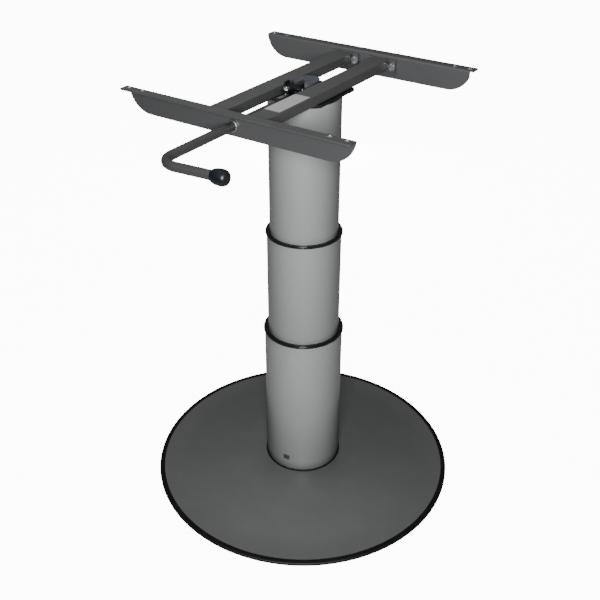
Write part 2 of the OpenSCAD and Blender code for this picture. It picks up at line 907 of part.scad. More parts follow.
module rocker_arm() {
    color("#34373b") difference() {
        union() {
            translate([ear_left + ear_t + stop_gap, -pivot_out, pivot_z]) rotate([0, 90, 0])
                cylinder(h = ear_right - ear_left - ear_t - 2 * stop_gap, r = rocker_boss_r);
            translate([-finger_side - rocker_arm_w / 2, -screw_out - rocker_tail, rocker_bottom])
                cube([rocker_arm_w, screw_out + rocker_tail - pivot_out, rocker_t]);
            translate([-rocker_nose_w / 2, -pivot_out, rocker_bottom])
                cube([rocker_nose_w, pivot_out, rocker_t]);
            translate([0, 0, rocker_bottom]) cylinder(h = rocker_t, d = rocker_nose_w);
        }
        translate([ear_left, -pivot_out, pivot_z]) rotate([0, 90, 0])
            cylinder(h = ear_right - ear_left + ear_t, r = pivot_d / 2 + run_gap);
        translate([-finger_side, -screw_out, rocker_bottom - cut])
            cylinder(h = rocker_t + 2 * cut, r = adjust_d / 2 + seat_gap);
    }
}

module adjusting_screw() {
    z = finger_top + stop_gap;
    color("#d3d6d9") translate([-finger_side, -screw_out, z])
        cylinder(h = rocker_top + adjust_nut_h + adjust_tip - z, d = adjust_d);
}

module adjusting_nut() {
    color("#d3d6d9") translate([-finger_side, -screw_out, rocker_top]) difference() {
        hex(adjust_nut_r, adjust_nut_h);
        translate([0, 0, -cut]) cylinder(h = adjust_nut_h + 2 * cut, r = adjust_d / 2 + seat_gap);
    }
}

module valve_pin() {
    color("#d3d6d9") translate([0, 0, valve_top - valve_l]) cylinder(h = valve_l, d = valve_d);
}

base_plate();
edge_trim();
foot_gasket();
foot_screws();
foot_disc();
outer_tube();
slot_plug();
outer_key();
lower_collar();
spring_rod();
rod_piston();
rod_nut();
mid_tube();
mid_guide_ring();
mid_carrier();
mid_key();
upper_collar();
spring_mid_tube();
spring_mid_seal();
spring_mid_piston();
spring_mid_clip();
top_tube();
top_guide_ring();
top_disc();
spring_cylinder();
spring_cylinder_seal();
head_plate();
plate_screws();
release_head();
pivot_ears();
pivot_pin();
cross_tube_left();
cross_tube_right();
near_rail();
far_rail();
end_plates();
rail_bolts();
rail_washers();
rail_nuts();
shaft_bush();
shaft_block();
blank_label();
lever_rod();
lever_knob();
shaft_clip();
crank_disc();
crank_finger();
rocker_arm();
adjusting_screw();
adjusting_nut();
valve_pin();
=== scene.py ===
"""Telescoping pedestal table: the fine shapes and finishes of its visible pieces, and the studio.

Sizes are in metres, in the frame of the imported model: +Z up, the column's axis on Z, the rails along X
and the cross tubes along Y. A piece takes its place from the node that it stands for.
"""
import math

import bmesh
import bpy
import numpy as np
from mathutils import Matrix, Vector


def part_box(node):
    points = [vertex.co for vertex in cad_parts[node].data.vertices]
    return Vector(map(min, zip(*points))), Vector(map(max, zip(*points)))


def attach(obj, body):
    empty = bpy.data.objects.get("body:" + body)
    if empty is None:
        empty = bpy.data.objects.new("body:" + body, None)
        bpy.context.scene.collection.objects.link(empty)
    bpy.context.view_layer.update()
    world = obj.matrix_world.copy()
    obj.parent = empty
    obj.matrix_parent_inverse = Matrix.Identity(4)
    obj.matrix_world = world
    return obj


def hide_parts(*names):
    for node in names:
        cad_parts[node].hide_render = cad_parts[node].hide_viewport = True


bl_info = {
    "name": "Telescoping Pedestal Table",
    "version": (1, 0, 0),
    "blender": (4, 5, 0),
    "location": "View3D > Sidebar > Pedestal",
    "description": "Dresses the pedestal table's frame with finished pieces and a studio",
    "category": "Object",
}

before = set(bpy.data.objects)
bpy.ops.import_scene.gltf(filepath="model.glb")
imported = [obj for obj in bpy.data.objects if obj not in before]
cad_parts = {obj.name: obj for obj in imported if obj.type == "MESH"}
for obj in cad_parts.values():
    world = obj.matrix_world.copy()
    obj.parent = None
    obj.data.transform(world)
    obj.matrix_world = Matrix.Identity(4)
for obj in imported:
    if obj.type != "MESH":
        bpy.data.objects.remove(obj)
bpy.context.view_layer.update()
MM = 0.001
FULL_TURN = 2 * math.pi
WIDE_STEPS = 256  # sides of the base and the column tubes
MIX_INPUTS, MIX_OUTPUT = (0, 6, 7), 2  # a colour mix's sockets: factor, two colours, result
VECTOR_SOCKETS = {3: "NodeSocketVector", 4: "NodeSocketColor"}  # by their count of values


# Sizes and colours that a user would change

def length(name, description, default):
    return bpy.props.FloatProperty(name=name, description=description, default=default,
                                   min=0.0, unit="LENGTH", precision=5)


def colour(name, description, default):
    return bpy.props.FloatVectorProperty(name=name, description=description, default=default,
                                         size=3, min=0.0, max=1.0, subtype="COLOR")


def share(name, description, default):
    return bpy.props.FloatProperty(name=name, description=description, default=default,
                                   min=0.0, max=1.0, subtype="FACTOR")


def strength(name, description, default):
    return bpy.props.FloatProperty(name=name, description=description, default=default, min=0.0)


class PedestalShapes(bpy.types.PropertyGroup):
    sheet_edge: length("Sheet edge", "Rounding of the cut edges of sheet and tube", 0.35 * MM)
    plate_edge: length("Plate edge", "Rounding of the black plates' edges", 0.5 * MM)
    head_edge: length("Head edge", "Rounding of the release head's edges", 1.1 * MM)
    collar_edge: length("Collar edge", "Rounding of the collars' rims", 1.4 * MM)
    screw_pitch: length("Screw pitch", "Distance from one thread crest to the next", 1.0 * MM)
    weld_size: length("Weld size", "Width of the weld beads", 2.2 * MM)
    base_sheet: length("Base sheet", "Thickness of the base plate", 2.5 * MM)
    base_rim: length("Base rim", "Width of the base plate's flat rim", 14 * MM)
    base_seat: length("Base seat", "Radius of the flat seat under the column", 78 * MM)
    trim_lap: length("Trim lap", "How far the rubber edge reaches over the base plate", 6.6 * MM)
    outer_wall: length("Outer wall", "Wall of the outer tube", 2.5 * MM)
    middle_wall: length("Middle wall", "Wall of the middle tube", 2.2 * MM)
    top_wall: length("Top wall", "Wall of the top tube", 2 * MM)
    plug_width: length("Plug width", "Width of the plug across the tube", 10.9 * MM)
    collar_rim: length("Collar rim", "Height of the collars' rims", 3.4 * MM)
    lower_bore: length("Lower bore", "Radius of the lower collar's bore", 56.6 * MM)
    lower_sleeve: length("Lower sleeve", "Wall of the lower collar's sleeve", 2.85 * MM)
    upper_bore: length("Upper bore", "Radius of the upper collar's bore", 52.1 * MM)
    upper_sleeve: length("Upper sleeve", "Wall of the upper collar's sleeve", 2.15 * MM)
    rail_sheet: length("Rail sheet", "Thickness of the rails' sheet", 2 * MM)
    hole_radius: length("Hole radius", "Radius of the rails' screw holes", 3.5 * MM)
    first_hole: length("First hole", "Distance from a rail's end to its first screw hole", 9 * MM)
    hole_pitch: length("Hole pitch", "Distance between the two screw holes at an end", 23.5 * MM)
    hole_in: length("Hole inset", "Distance from a rail's fold to its screw holes", 7 * MM)
    bolt_radius: length("Bolt radius", "Radius of the rail bolts' thread", 3 * MM)
    bolt_across: length("Bolt head", "Width across the flats of the rail bolts' heads and nuts", 10 * MM)
    washer_radius: length("Washer radius", "Radius of the rail bolts' washers", 6 * MM)
    rod_radius: length("Rod radius", "Radius of the lever rod", 6 * MM)
    bend_radius: length("Bend radius", "Radius of the lever's bend", 24 * MM)
    handle: length("Handle", "Distance from the bend to the knob", 48 * MM)
    knob: length("Knob", "Length of the knob", 21.7 * MM)
    knob_radius: length("Knob radius", "Largest radius of the knob", 9.85 * MM)
    knob_depth: length("Knob depth", "Depth of the rod in the knob", 14 * MM)
    lean: bpy.props.FloatProperty(name="Lean", description="Inward lean of the lever's handle",
                                  default=math.radians(6), subtype="ANGLE")


class PedestalColours(bpy.types.PropertyGroup):
    base: colour("Base", "Powder coat of the base plate", (0.136, 0.138, 0.14))
    column: colour("Column", "Powder coat of the three tubes", (0.258, 0.274, 0.269))
    frame_paint: colour("Frame", "Paint of the rails and cross tubes", (0.068, 0.069, 0.071))
    lever: colour("Lever", "Paint of the lever rod", (0.048, 0.049, 0.05))
    zinc: colour("Zinc", "Plating of the bolts and nuts", (0.74, 0.75, 0.76))
    label: colour("Label", "Foil of the blank label", (0.198, 0.194, 0.202))
    wear: share("Wear", "How much dust and handling marks show", 0.35)


class PedestalStudio(bpy.types.PropertyGroup):
    floor: colour("Floor", "Colour of the floor", (0.38, 0.38, 0.38))
    key_power: strength("Key power", "Power of the light beside the camera in watts", 27.0)
    fill_power: strength("Fill power", "Power of the large light at the left in watts", 2.0)
    back_power: strength("Back power", "Power of the light behind in watts", 12.0)
    top_power: strength("Top power", "Power of the light above the frame in watts", 4.0)
    sky_strength: strength("Sky strength", "Strength of the pale surroundings", 0.13)
    floor_bounce: strength("Floor bounce", "Soft light that comes up from the floor", 0.15)
    glow: strength("Glow", "How bright the picture shows the floor and surroundings", 12.0)
    camera_lens: strength("Lens", "Focal length of the camera in mm", 51.69)


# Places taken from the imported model

class Place:
    """A node's box: low and high corner, middle and size."""

    def __init__(self, node):
        low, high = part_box(node)
        self.low, self.high = np.array(low), np.array(high)
        self.middle = (self.low + self.high) / 2
        self.size = self.high - self.low

    def radius(self, axis=0):
        return self.size[axis] / 2


# Meshes

def clean(mesh, merge=0.0, flat=0.0):
    """Turns a mesh's faces outwards.

    Before that it merges points nearer than the merge distance, where one is given, and dissolves edges
    whose faces lie within the flat angle of one plane, or else those that merging has left without length.
    """
    work = bmesh.new()
    work.from_mesh(mesh)
    if merge:
        bmesh.ops.remove_doubles(work, verts=work.verts, dist=merge)
    if flat:
        bmesh.ops.dissolve_limit(work, angle_limit=flat, verts=work.verts, edges=work.edges)
    elif merge:
        bmesh.ops.dissolve_degenerate(work, edges=work.edges, dist=merge / 10)
    bmesh.ops.recalc_face_normals(work, faces=work.faces)
    work.to_mesh(mesh)
    work.free()


def add_piece(name, points, faces, body, slot, material, sharp=35.0):
    """Puts points and faces into a mesh, merges doubles, turns the faces outwards and smooths it."""
    mesh = bpy.data.meshes.new(name)
    mesh.from_pydata(points.tolist(), [], faces.tolist())
    clean(mesh, merge=1e-6)
    return finish_piece(name, mesh, body, material, sharp)


def finish_piece(name, mesh, body, material, sharp):
    """Smooths a mesh, keeps edges sharper than the given angle, and puts the piece on its body."""
    mesh.materials.clear()
    mesh.materials.append(material)
    mesh.shade_smooth()
    mesh.set_sharp_from_angle(angle=math.radians(sharp))
    piece = bpy.data.objects.new(name, mesh)
    bpy.context.scene.collection.objects.link(piece)
    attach(piece, body)
    return piece


def grid_faces(rows, columns, wrap_rows=False, wrap_columns=False):
    """Quads between neighbours of a grid of rows by columns, joined round where it wraps."""
    i = np.arange(rows if wrap_rows else rows - 1)
    j = np.arange(columns if wrap_columns else columns - 1)
    i, j = (a.ravel() for a in np.meshgrid(i, j, indexing="ij"))
    k, m = (i + 1) % rows, (j + 1) % columns
    return np.stack([i * columns + j, k * columns + j, k * columns + m, i * columns + m], axis=1)


def rounded(corners, steps=5):
    """A closed outline with round corners: each corner (x, y, r) becomes an arc that touches both sides.

    The arc's centre lies on the corner's bisector, r over the sine of half the corner's angle away.
    """
    outline = []
    count = len(corners)
    for n, (x, y, r) in enumerate(corners):
        here = np.array([x, y], float)
        before = np.array(corners[n - 1][:2], float) - here
        after = np.array(corners[(n + 1) % count][:2], float) - here
        before /= np.linalg.norm(before)
        after /= np.linalg.norm(after)
        if r <= 0 or abs(np.cross(before, after)) < 1e-6:
            outline.append(here[None])
            continue
        half = math.acos(np.clip(before @ after, -1, 1)) / 2
        bisector = (before + after) / np.linalg.norm(before + after)
        centre = here + bisector * r / math.sin(half)
        reach = r / math.tan(half)
        start = here + before * reach - centre
        end = here + after * reach - centre
        turn = math.atan2(np.cross(start, end), start @ end)
        t = np.linspace(0, turn, steps + 1)[:, None]
        quarter = np.array([-start[1], start[0]])
        outline.append(centre + start * np.cos(t) + quarter * np.sin(t))
    return np.concatenate(outline)


def set_on(points, origin, axis):
    """Turns points made round +Z so that their +Z lies along the axis, and moves them to the origin."""
    z = np.array(axis, float)
    z /= np.linalg.norm(z)
    helper = np.array([1.0, 0, 0]) if abs(z[0]) < 0.9 else np.array([0, 1.0, 0])
    y = np.cross(z, helper)
    y /= np.linalg.norm(y)
    x = np.cross(y, z)
    return points @ np.stack([x, y, z]) + np.array(origin)


def around(r, a, h):
    """Points (r cos a, r sin a, h) from grids of radius, turn and height, one after another."""
    return np.stack(np.broadcast_arrays(r * np.cos(a), r * np.sin(a), h), axis=-1).reshape(-1, 3)


def turned(outline, origin=(0, 0, 0), axis=(0, 0, 1), steps=128, ring=True):
    """Points and faces of a turned shape: (r, h) goes round to (r cos a, r sin a, h) for a full turn.

    A ring's outline is closed. Another outline starts and ends on the axis, where its points merge.
    """
    a = np.linspace(0, FULL_TURN, steps, endpoint=False)[:, None]
    points = around(outline[None, :, 0], a, outline[None, :, 1])
    faces = grid_faces(steps, len(outline), wrap_rows=True, wrap_columns=ring)
    return set_on(points, origin, axis), faces


def hexagon_reach(a, across):
    """Distance from the middle to the side of a hexagon, in the direction a."""
    sector = FULL_TURN / 6
    return across / 2 / np.cos((a + sector / 2) % sector - sector / 2)


def bar_outline(radius, span, low_ease=0.0, high_ease=0.0, steps=5):
    """Outline of a round bar, from its axis over its wall and back, with the edges of its ends eased."""
    return rounded([(0, 0, 0), (radius, 0, low_ease), (radius, span, high_ease), (0, span, 0)], steps)


def section_round(section, a):
    """Points of a section that changes with the turn: for each of its corners, r and h over all turns."""
    r, h = (np.stack(values, axis=1) for values in zip(*section))
    return around(r, a[:, None], h)


def hexagonal(across, height, bore, origin, axis, both_ends=False):
    """Points and faces of a hexagonal head or nut whose corners are cut by a cone.

    Each section holds (radius, height) pairs: the side lies at the hexagon's reach, and its end goes
    down by the cone's slope times how far that reach passes the flats.
    """
    steps, slope, flat_share = 96, 0.6, 0.96
    a = np.linspace(0, FULL_TURN, steps, endpoint=False)
    reach = hexagon_reach(a, across)
    drop = (reach - across / 2) * slope
    flat = np.full_like(a, across / 2 * flat_share)
    zero, top, inner = np.zeros_like(a), np.full_like(a, height), np.full_like(a, bore)
    start = [(flat, zero), (reach, drop)] if both_ends else [(reach, zero), (reach, zero)]
    section = [(inner, zero), *start, (reach, top - drop), (flat, top), (inner, top)]
    faces = grid_faces(steps, len(section), wrap_rows=True, wrap_columns=bore > 0)
    return set_on(section_round(section, a), origin, axis), faces


def threaded(radius, span, pitch, origin, axis):
    """Points, side faces and end faces of a threaded shank.

    The radius is a triangle wave of height less turn, which runs out to the root at both ends.
    """
    steps, rows_a_turn, depth, run_out = 24, 6, pitch * 0.3, pitch * 0.8
    rows = max(int(span / pitch * rows_a_turn), rows_a_turn)
    a = np.linspace(0, FULL_TURN, steps, endpoint=False)[None, :]
    h = np.linspace(0, span, rows)[:, None]
    wave = np.abs(((h / pitch - a / FULL_TURN) % 1) * 2 - 1)
    ends = np.clip(np.minimum(h, span - h) / run_out, 0, 1)
    r = radius - depth * (1 - wave * ends)
    points = np.concatenate([around(r, a, h), [[0, 0, 0], [0, 0, span]]])
    ring, last, centre = np.arange(steps), (rows - 1) * steps, rows * steps
    after = (ring + 1) % steps
    low = np.stack([ring, after, np.full(steps, centre)], axis=1)
    high = np.stack([last + ring, last + after, np.full(steps, centre + 1)], axis=1)
    sides = grid_faces(rows, steps, wrap_columns=True)
    return set_on(points, origin, axis), sides, np.concatenate([low, high])


def swept_rod(path, radius):
    """Points and faces of a round rod along a path that lies level.

    At each point the circle stands across the path's direction; radius gives one value a point, and
    the ends run down to zero, so that they close.
    """
    steps = 48
    direction = np.gradient(path, axis=0)
    direction /= np.linalg.norm(direction, axis=1, keepdims=True)
    side = np.stack([direction[:, 1], -direction[:, 0], 0 * direction[:, 0]], axis=1)
    a = np.linspace(0, FULL_TURN, steps, endpoint=False)
    up = np.array([0, 0, 1.0])
    ring = side[:, None] * np.cos(a)[None, :, None] + up * np.sin(a)[None, :, None]
    points = path[:, None] + ring * radius[:, None, None]
    return points.reshape(-1, 3), grid_faces(len(path), steps, wrap_columns=True)


def joined(parts):
    """Several (points, faces) made one."""
    points, faces, start = [], [], 0
    for p, f in parts:
        points.append(p)
        faces.append(f + start)
        start += len(p)
    return np.concatenate(points), np.concatenate(faces)


def dress(node, shape, body, slot, material, sharp=35.0, name=None):
    """Puts a shape, which is points and faces, in a node's place as a finished piece."""
    points, faces = shape
    piece = add_piece(name or node + "_skin", points, faces, body, slot, material, sharp)
    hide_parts(node)


def softened(node, body, material, edge, sharp=35.0):
    """A node's own mesh, merged, with its sharp edges rounded by a bevel."""
    name = node + "_skin"
    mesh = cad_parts[node].data.copy()
    mesh.name = name
    clean(mesh, merge=2e-6, flat=math.radians(0.5))
    piece = finish_piece(name, mesh, body, material, sharp)
    bevel = piece.modifiers.new("edge rounding", "BEVEL")
    bevel.width = edge
    bevel.segments = 2
    bevel.limit_method = "ANGLE"
    bevel.angle_limit = math.radians(32)
    bevel.use_clamp_overlap = True
    bevel.harden_normals = True
    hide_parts(node)


# Materials

def feed(tree, socket, value):
    """Links another node's output to a socket, or puts a plain value on it."""
    if isinstance(value, bpy.types.NodeSocket):
        tree.links.new(value, socket)
    else:
        socket.default_value = value


def new_group(name, inputs):
    """A shader group with an input for each name and default, and its three outputs.

    It gives the group, its inputs and the object's coordinates in it.
    """
    group = bpy.data.node_groups.new(name, "ShaderNodeTree")
    for label, default in inputs.items():
        kind = "NodeSocketFloat" if isinstance(default, float) else VECTOR_SOCKETS[len(default)]
        socket = group.interface.new_socket(label, in_out="INPUT", socket_type=kind)
        socket.default_value = default
    for label, kind in (("Colour", "NodeSocketColor"), ("Roughness", "NodeSocketFloat"),
                        ("Height", "NodeSocketFloat")):
        group.interface.new_socket(label, in_out="OUTPUT", socket_type=kind)
    given = group.nodes.new("NodeGroupInput")
    where = group.nodes.new("ShaderNodeTexCoord")
    return group, given.outputs, where.outputs["Object"]


def put_out(group, tone, rough, height):
    """Links what a group has worked out to its three outputs."""
    out = group.nodes.new("NodeGroupOutput")
    for label, value in (("Colour", tone), ("Roughness", rough), ("Height", height)):
        feed(group, out.inputs[label], value)
    return group


def noise(tree, vector, scale, detail=3.0, roughness=0.55):
    node = tree.nodes.new("ShaderNodeTexNoise")
    for label, value in (("Vector", vector), ("Scale", scale), ("Detail", detail), ("Roughness", roughness)):
        feed(tree, node.inputs[label], value)
    return node.outputs["Fac"]


def remap(tree, value, low, high, to_low=0.0, to_high=1.0):
    node = tree.nodes.new("ShaderNodeMapRange")
    for label, setting in (("Value", value), ("From Min", low), ("From Max", high),
                           ("To Min", to_low), ("To Max", to_high)):
        feed(tree, node.inputs[label], setting)
    return node.outputs["Result"]


def maths(tree, operation, a, b):
    node = tree.nodes.new("ShaderNodeMath")
    node.operation = operation
    feed(tree, node.inputs[0], a)
    feed(tree, node.inputs[1], b)
    return node.outputs[0]


def plus(tree, a, b):
    return maths(tree, "ADD", a, b)


def times(tree, a, b):
    return maths(tree, "MULTIPLY", a, b)


def vector_maths(tree, operation, vector, label, value):
    """A vector node whose second value goes on the named socket."""
    node = tree.nodes.new("ShaderNodeVectorMath")
    node.operation = operation
    feed(tree, node.inputs[0], vector)
    feed(tree, node.inputs[label], value)
    return node.outputs[0]


def mixed(tree, factor, a, b):
    """Colour a, which goes over to colour b as the factor rises."""
    node = tree.nodes.new("ShaderNodeMix")
    node.data_type = "RGBA"
    for socket, value in zip(MIX_INPUTS, (factor, a, b)):
        feed(tree, node.inputs[socket], value)
    return node.outputs[MIX_OUTPUT]


def roughness(tree, gloss, change, mask, mask_share):
    """The gloss value, a small change that varies over the surface, and a share of a mask."""
    return plus(tree, plus(tree, gloss, change), times(tree, mask, mask_share))


def powder_coat_group():
    """Powder coat: a fine orange peel, faint clouds in its tone, and a little dust where it faces up."""
    group, given, where = new_group("powder coat", {
        "Colour": (0.1, 0.1, 0.1, 1), "Dust": 0.3, "Peel scale": 900.0, "Gloss": 0.4})
    clouds = noise(group, where, scale=9.0, detail=4.0)
    smears = noise(group, where, scale=38.0, detail=5.0, roughness=0.62)
    peel = noise(group, where, given["Peel scale"], detail=1.5)
    grain = noise(group, where, scale=2600.0, detail=2.0)
    tone = remap(group, clouds, 0.3, 0.7, to_low=0.985, to_high=1.015)
    bright = vector_maths(group, "SCALE", given["Colour"], "Scale", tone)
    facing = group.nodes.new("ShaderNodeNewGeometry")
    split = group.nodes.new("ShaderNodeSeparateXYZ")
    feed(group, split.inputs[0], facing.outputs["Normal"])
    upward = remap(group, split.outputs["Z"], 0.4, 1.0)
    dust = times(group, times(group, upward, remap(group, smears, 0.45, 0.75)), given["Dust"])
    dusty = mixed(group, times(group, dust, 0.08), bright, (0.34, 0.33, 0.31, 1))
    smear_gloss = remap(group, smears, 0.25, 0.75, to_low=-0.02, to_high=0.03)
    rough = roughness(group, given["Gloss"], smear_gloss, dust, 0.2)
    return put_out(group, dusty, rough, plus(group, peel, times(group, grain, 0.35)))


def handled_metal_group():
    """Plated or turned metal: fine lines along one direction, blotches of plating and small scratches."""
    group, given, where = new_group("handled metal", {
        "Colour": (0.6, 0.6, 0.6, 1), "Stain": (0.3, 0.3, 0.33, 1), "Blotch": 0.4, "Gloss": 0.3,
        "Along": (1.0, 1.0, 0.08)})
    stretched = vector_maths(group, "MULTIPLY", where, 1, given["Along"])
    lines = noise(group, stretched, scale=1800.0, detail=3.0)
    blotches = noise(group, where, scale=170.0, detail=4.0, roughness=0.6)
    marks = noise(group, where, scale=700.0, detail=2.0)
    blotch = times(group, remap(group, blotches, 0.38, 0.68), given["Blotch"])
    tone = mixed(group, blotch, given["Colour"], given["Stain"])
    line_gloss = remap(group, lines, 0.3, 0.7, to_low=-0.06, to_high=0.08)
    rough = roughness(group, given["Gloss"], line_gloss, blotch, 0.3)
    return put_out(group, tone, rough, plus(group, lines, times(group, marks, 0.5)))


def moulded_group():
    """Moulded plastic and rubber: a fine matt grain, faint flow marks and a dusting in patches."""
    group, given, where = new_group("moulded", {
        "Colour": (0.02, 0.02, 0.02, 1), "Grain scale": 1500.0, "Gloss": 0.4, "Dust": 0.3})
    grain = noise(group, where, given["Grain scale"], detail=2.0)
    flow = noise(group, where, scale=55.0, detail=4.0)
    dust = times(group, remap(group, flow, 0.48, 0.72), given["Dust"])
    dusty = mixed(group, times(group, dust, 0.12), given["Colour"], (0.2, 0.2, 0.19, 1))
    flow_gloss = remap(group, flow, 0.3, 0.7, to_low=-0.04, to_high=0.05)
    return put_out(group, dusty, roughness(group, given["Gloss"], flow_gloss, dust, 0.15), grain)


GROUPS = {"powder coat": powder_coat_group, "handled metal": handled_metal_group,
          "moulded": moulded_group}


def material(name, group_name, settings, relief, flop=0.0, **shader):
    """A material of one group and a Principled shader; plain numbers go on the shader's own sockets.

    Relief is the height of its finest bumps. Its last share is painted shade: how much of its tone the paint
    loses, towards black, where the surface is seen from the side.
    """
    if name in bpy.data.materials:
        return bpy.data.materials[name]
    group = bpy.data.node_groups.get(group_name) or GROUPS[group_name]()
    made = bpy.data.materials.new(name)
    made.use_nodes = True
    tree = made.node_tree
    skin = tree.nodes["Principled BSDF"]
    surface = tree.nodes.new("ShaderNodeGroup")
    surface.node_tree = group
    for label, value in settings.items():
        surface.inputs[label].default_value = value
    bump = tree.nodes.new("ShaderNodeBump")
    bump.inputs["Distance"].default_value = relief
    feed(tree, bump.inputs["Height"], surface.outputs["Height"])
    feed(tree, skin.inputs["Normal"], bump.outputs["Normal"])
    tone = surface.outputs["Colour"]
    # Painted shade: the tone goes towards black where the surface is seen edge-on, by the share given.
    if flop:
        view = tree.nodes.new("ShaderNodeLayerWeight")
        view.inputs["Blend"].default_value = 0.4
        tone = mixed(tree, times(tree, view.outputs["Facing"], flop), tone, (0, 0, 0, 1))
    feed(tree, skin.inputs["Base Color"], tone)
    feed(tree, skin.inputs["Roughness"], surface.outputs["Roughness"])
    for label, value in shader.items():
        skin.inputs[label.replace("_", " ")].default_value = value
    return made


def rgba(values):
    return (*values, 1.0)


def colours():
    return bpy.context.scene.pedestal_colours


def powder_coat(name, tone, dust, peel_scale, gloss, relief=0.02 * MM, **look):
    """A painted finish. Look holds the painted edge shade and the shader's own plain values, here and below.
    """
    settings = {"Colour": rgba(tone), "Dust": dust, "Peel scale": peel_scale, "Gloss": gloss}
    return material(name, "powder coat", settings, relief, **look)


def moulding(name, tone, grain_scale, gloss, dust, relief, **look):
    """A plastic or rubber finish."""
    settings = {"Colour": rgba(tone), "Grain scale": grain_scale, "Gloss": gloss, "Dust": dust}
    return material(name, "moulded", settings, relief, **look)


def metal(name, tone, stain, blotch, gloss, along, relief, **look):
    """A bare or plated finish, whose lines run where along is smallest."""
    settings = {"Colour": rgba(tone), "Stain": rgba(stain), "Blotch": blotch, "Gloss": gloss, "Along": along}
    return material(name, "handled metal", settings, relief, **look)


# In the four coats below, the share just before Metallic is painted shade: how far each darkens where it is
# seen edge-on.
def base_coat():
    c = colours()
    return powder_coat("base_powder_coat", c.base, dust=c.wear, peel_scale=700.0, gloss=0.33,
                       flop=1.0, Metallic=0.3)


def column_coat():
    c = colours()
    return powder_coat("column_powder_coat", c.column, dust=c.wear * 0.5, peel_scale=900.0, gloss=0.36,
                       relief=0.015 * MM, flop=0.95, Metallic=0.1)


def frame_coat():
    c = colours()
    return powder_coat("frame_powder_coat", c.frame_paint, dust=c.wear, peel_scale=800.0, gloss=0.4,
                       flop=0.3, Metallic=0.35)


def lever_coat():
    c = colours()
    return powder_coat("lever_powder_coat", c.lever, dust=c.wear, peel_scale=900.0, gloss=0.34,
                       flop=0.4, Metallic=0.35)


def black_coat():
    return powder_coat("black_powder_coat", (0.005, 0.005, 0.0055), dust=0.1, peel_scale=800.0, gloss=0.42,
                       relief=0.03 * MM, Specular_IOR_Level=0.25)


def glossy_black():
    return moulding("glossy_black_plastic", (0.004, 0.004, 0.0045), grain_scale=1400.0, gloss=0.16, dust=0.2,
                    relief=0.004 * MM, Specular_IOR_Level=0.35)


def plug_grey():
    return moulding("grey_plug_plastic", (0.035, 0.036, 0.037), grain_scale=1400.0, gloss=0.35, dust=0.6,
                    relief=0.01 * MM)


def knob_black():
    return moulding("moulded_knob_black", (0.003, 0.0045, 0.007), grain_scale=1400.0, gloss=0.32, dust=0.3,
                    relief=0.005 * MM, Specular_IOR_Level=0.3)


def rubber():
    return moulding("black_rubber", (0.003, 0.003, 0.003), grain_scale=1800.0, gloss=0.5, dust=0.15,
                    relief=0.02 * MM, Specular_IOR_Level=0.25)


def guide_plastic():
    return moulding("guide_nylon", (0.72, 0.69, 0.6), grain_scale=1600.0, gloss=0.45, dust=0.2,
                    relief=0.01 * MM)


def zinc():
    return metal("zinc_plate", colours().zinc, stain=(0.36, 0.37, 0.42), blotch=0.45, gloss=0.2,
                 along=(1.0, 1.0, 0.15), relief=0.008 * MM, Metallic=0.95)


def blue_zinc():
    return metal("blue_zinc_casting", (0.1, 0.11, 0.124), stain=(0.046, 0.05, 0.058), blotch=0.7, gloss=0.3,
                 along=(1.0, 1.0, 0.4), relief=0.02 * MM, Metallic=0.6)


def bright_steel():
    return metal("bright_steel", (0.66, 0.67, 0.68), stain=(0.45, 0.46, 0.48), blotch=0.25, gloss=0.18,
                 along=(1.0, 0.06, 1.0), relief=0.005 * MM, Metallic=1.0)


def turned_steel():
    return metal("turned_steel", (0.42, 0.42, 0.43), stain=(0.22, 0.2, 0.18), blotch=0.4, gloss=0.36,
                 along=(0.3, 0.3, 1.0), relief=0.01 * MM, Metallic=1.0)


def dark_steel():
    return metal("black_oxide_steel", (0.05, 0.05, 0.052), stain=(0.02, 0.02, 0.022), blotch=0.5, gloss=0.34,
                 along=(1.0, 1.0, 0.3), relief=0.01 * MM, Metallic=1.0)


def label_foil():
    return moulding("blank_foil", colours().label, grain_scale=900.0, gloss=0.4, dust=0.8,
                    relief=0.006 * MM)


def repaint(nodes, made):
    """Gives CAD nodes that keep their own mesh a finished material."""
    for node in nodes:
        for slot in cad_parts[node].material_slots:
            slot.link = "OBJECT"
            slot.material = made


# Base

def dish_share(t):
    """Share of the dish's rise at share t of the way in: level at both ends, straight between."""
    blend = 0.25
    k = 1 / (1 - blend)
    middle = k * (t - blend / 2)
    return np.where(t < blend, k * t * t / (2 * blend),
                    np.where(t > 1 - blend, 1 - k * (1 - t) ** 2 / (2 * blend), middle))


def make_base_plate(shapes):
    """The pressed disc, turned: its upper outline follows the dish's share of its rise, and its lower one
    lies a sheet's thickness below.
    """
    place = Place("base_plate")
    sheet = shapes.base_sheet
    edge = place.radius()
    rim = edge - shapes.base_rim
    rim_top = place.low[2] + sheet
    rise = place.high[2] - rim_top
    rows = 60
    t = np.linspace(1, 0, rows)
    r = rim - t * (rim - shapes.base_seat)
    h = rim_top + rise * dish_share(t)
    upper = np.stack([np.append(0, r), np.append(place.high[2], h)], axis=1)
    under = upper[::-1] - (0, sheet)
    outline = np.concatenate([upper, [[edge, rim_top], [edge, rim_top - sheet]], under])
    shape = turned(outline, steps=WIDE_STEPS, ring=False)
    dress("base_plate", shape, "foot", "base_paint", base_coat())


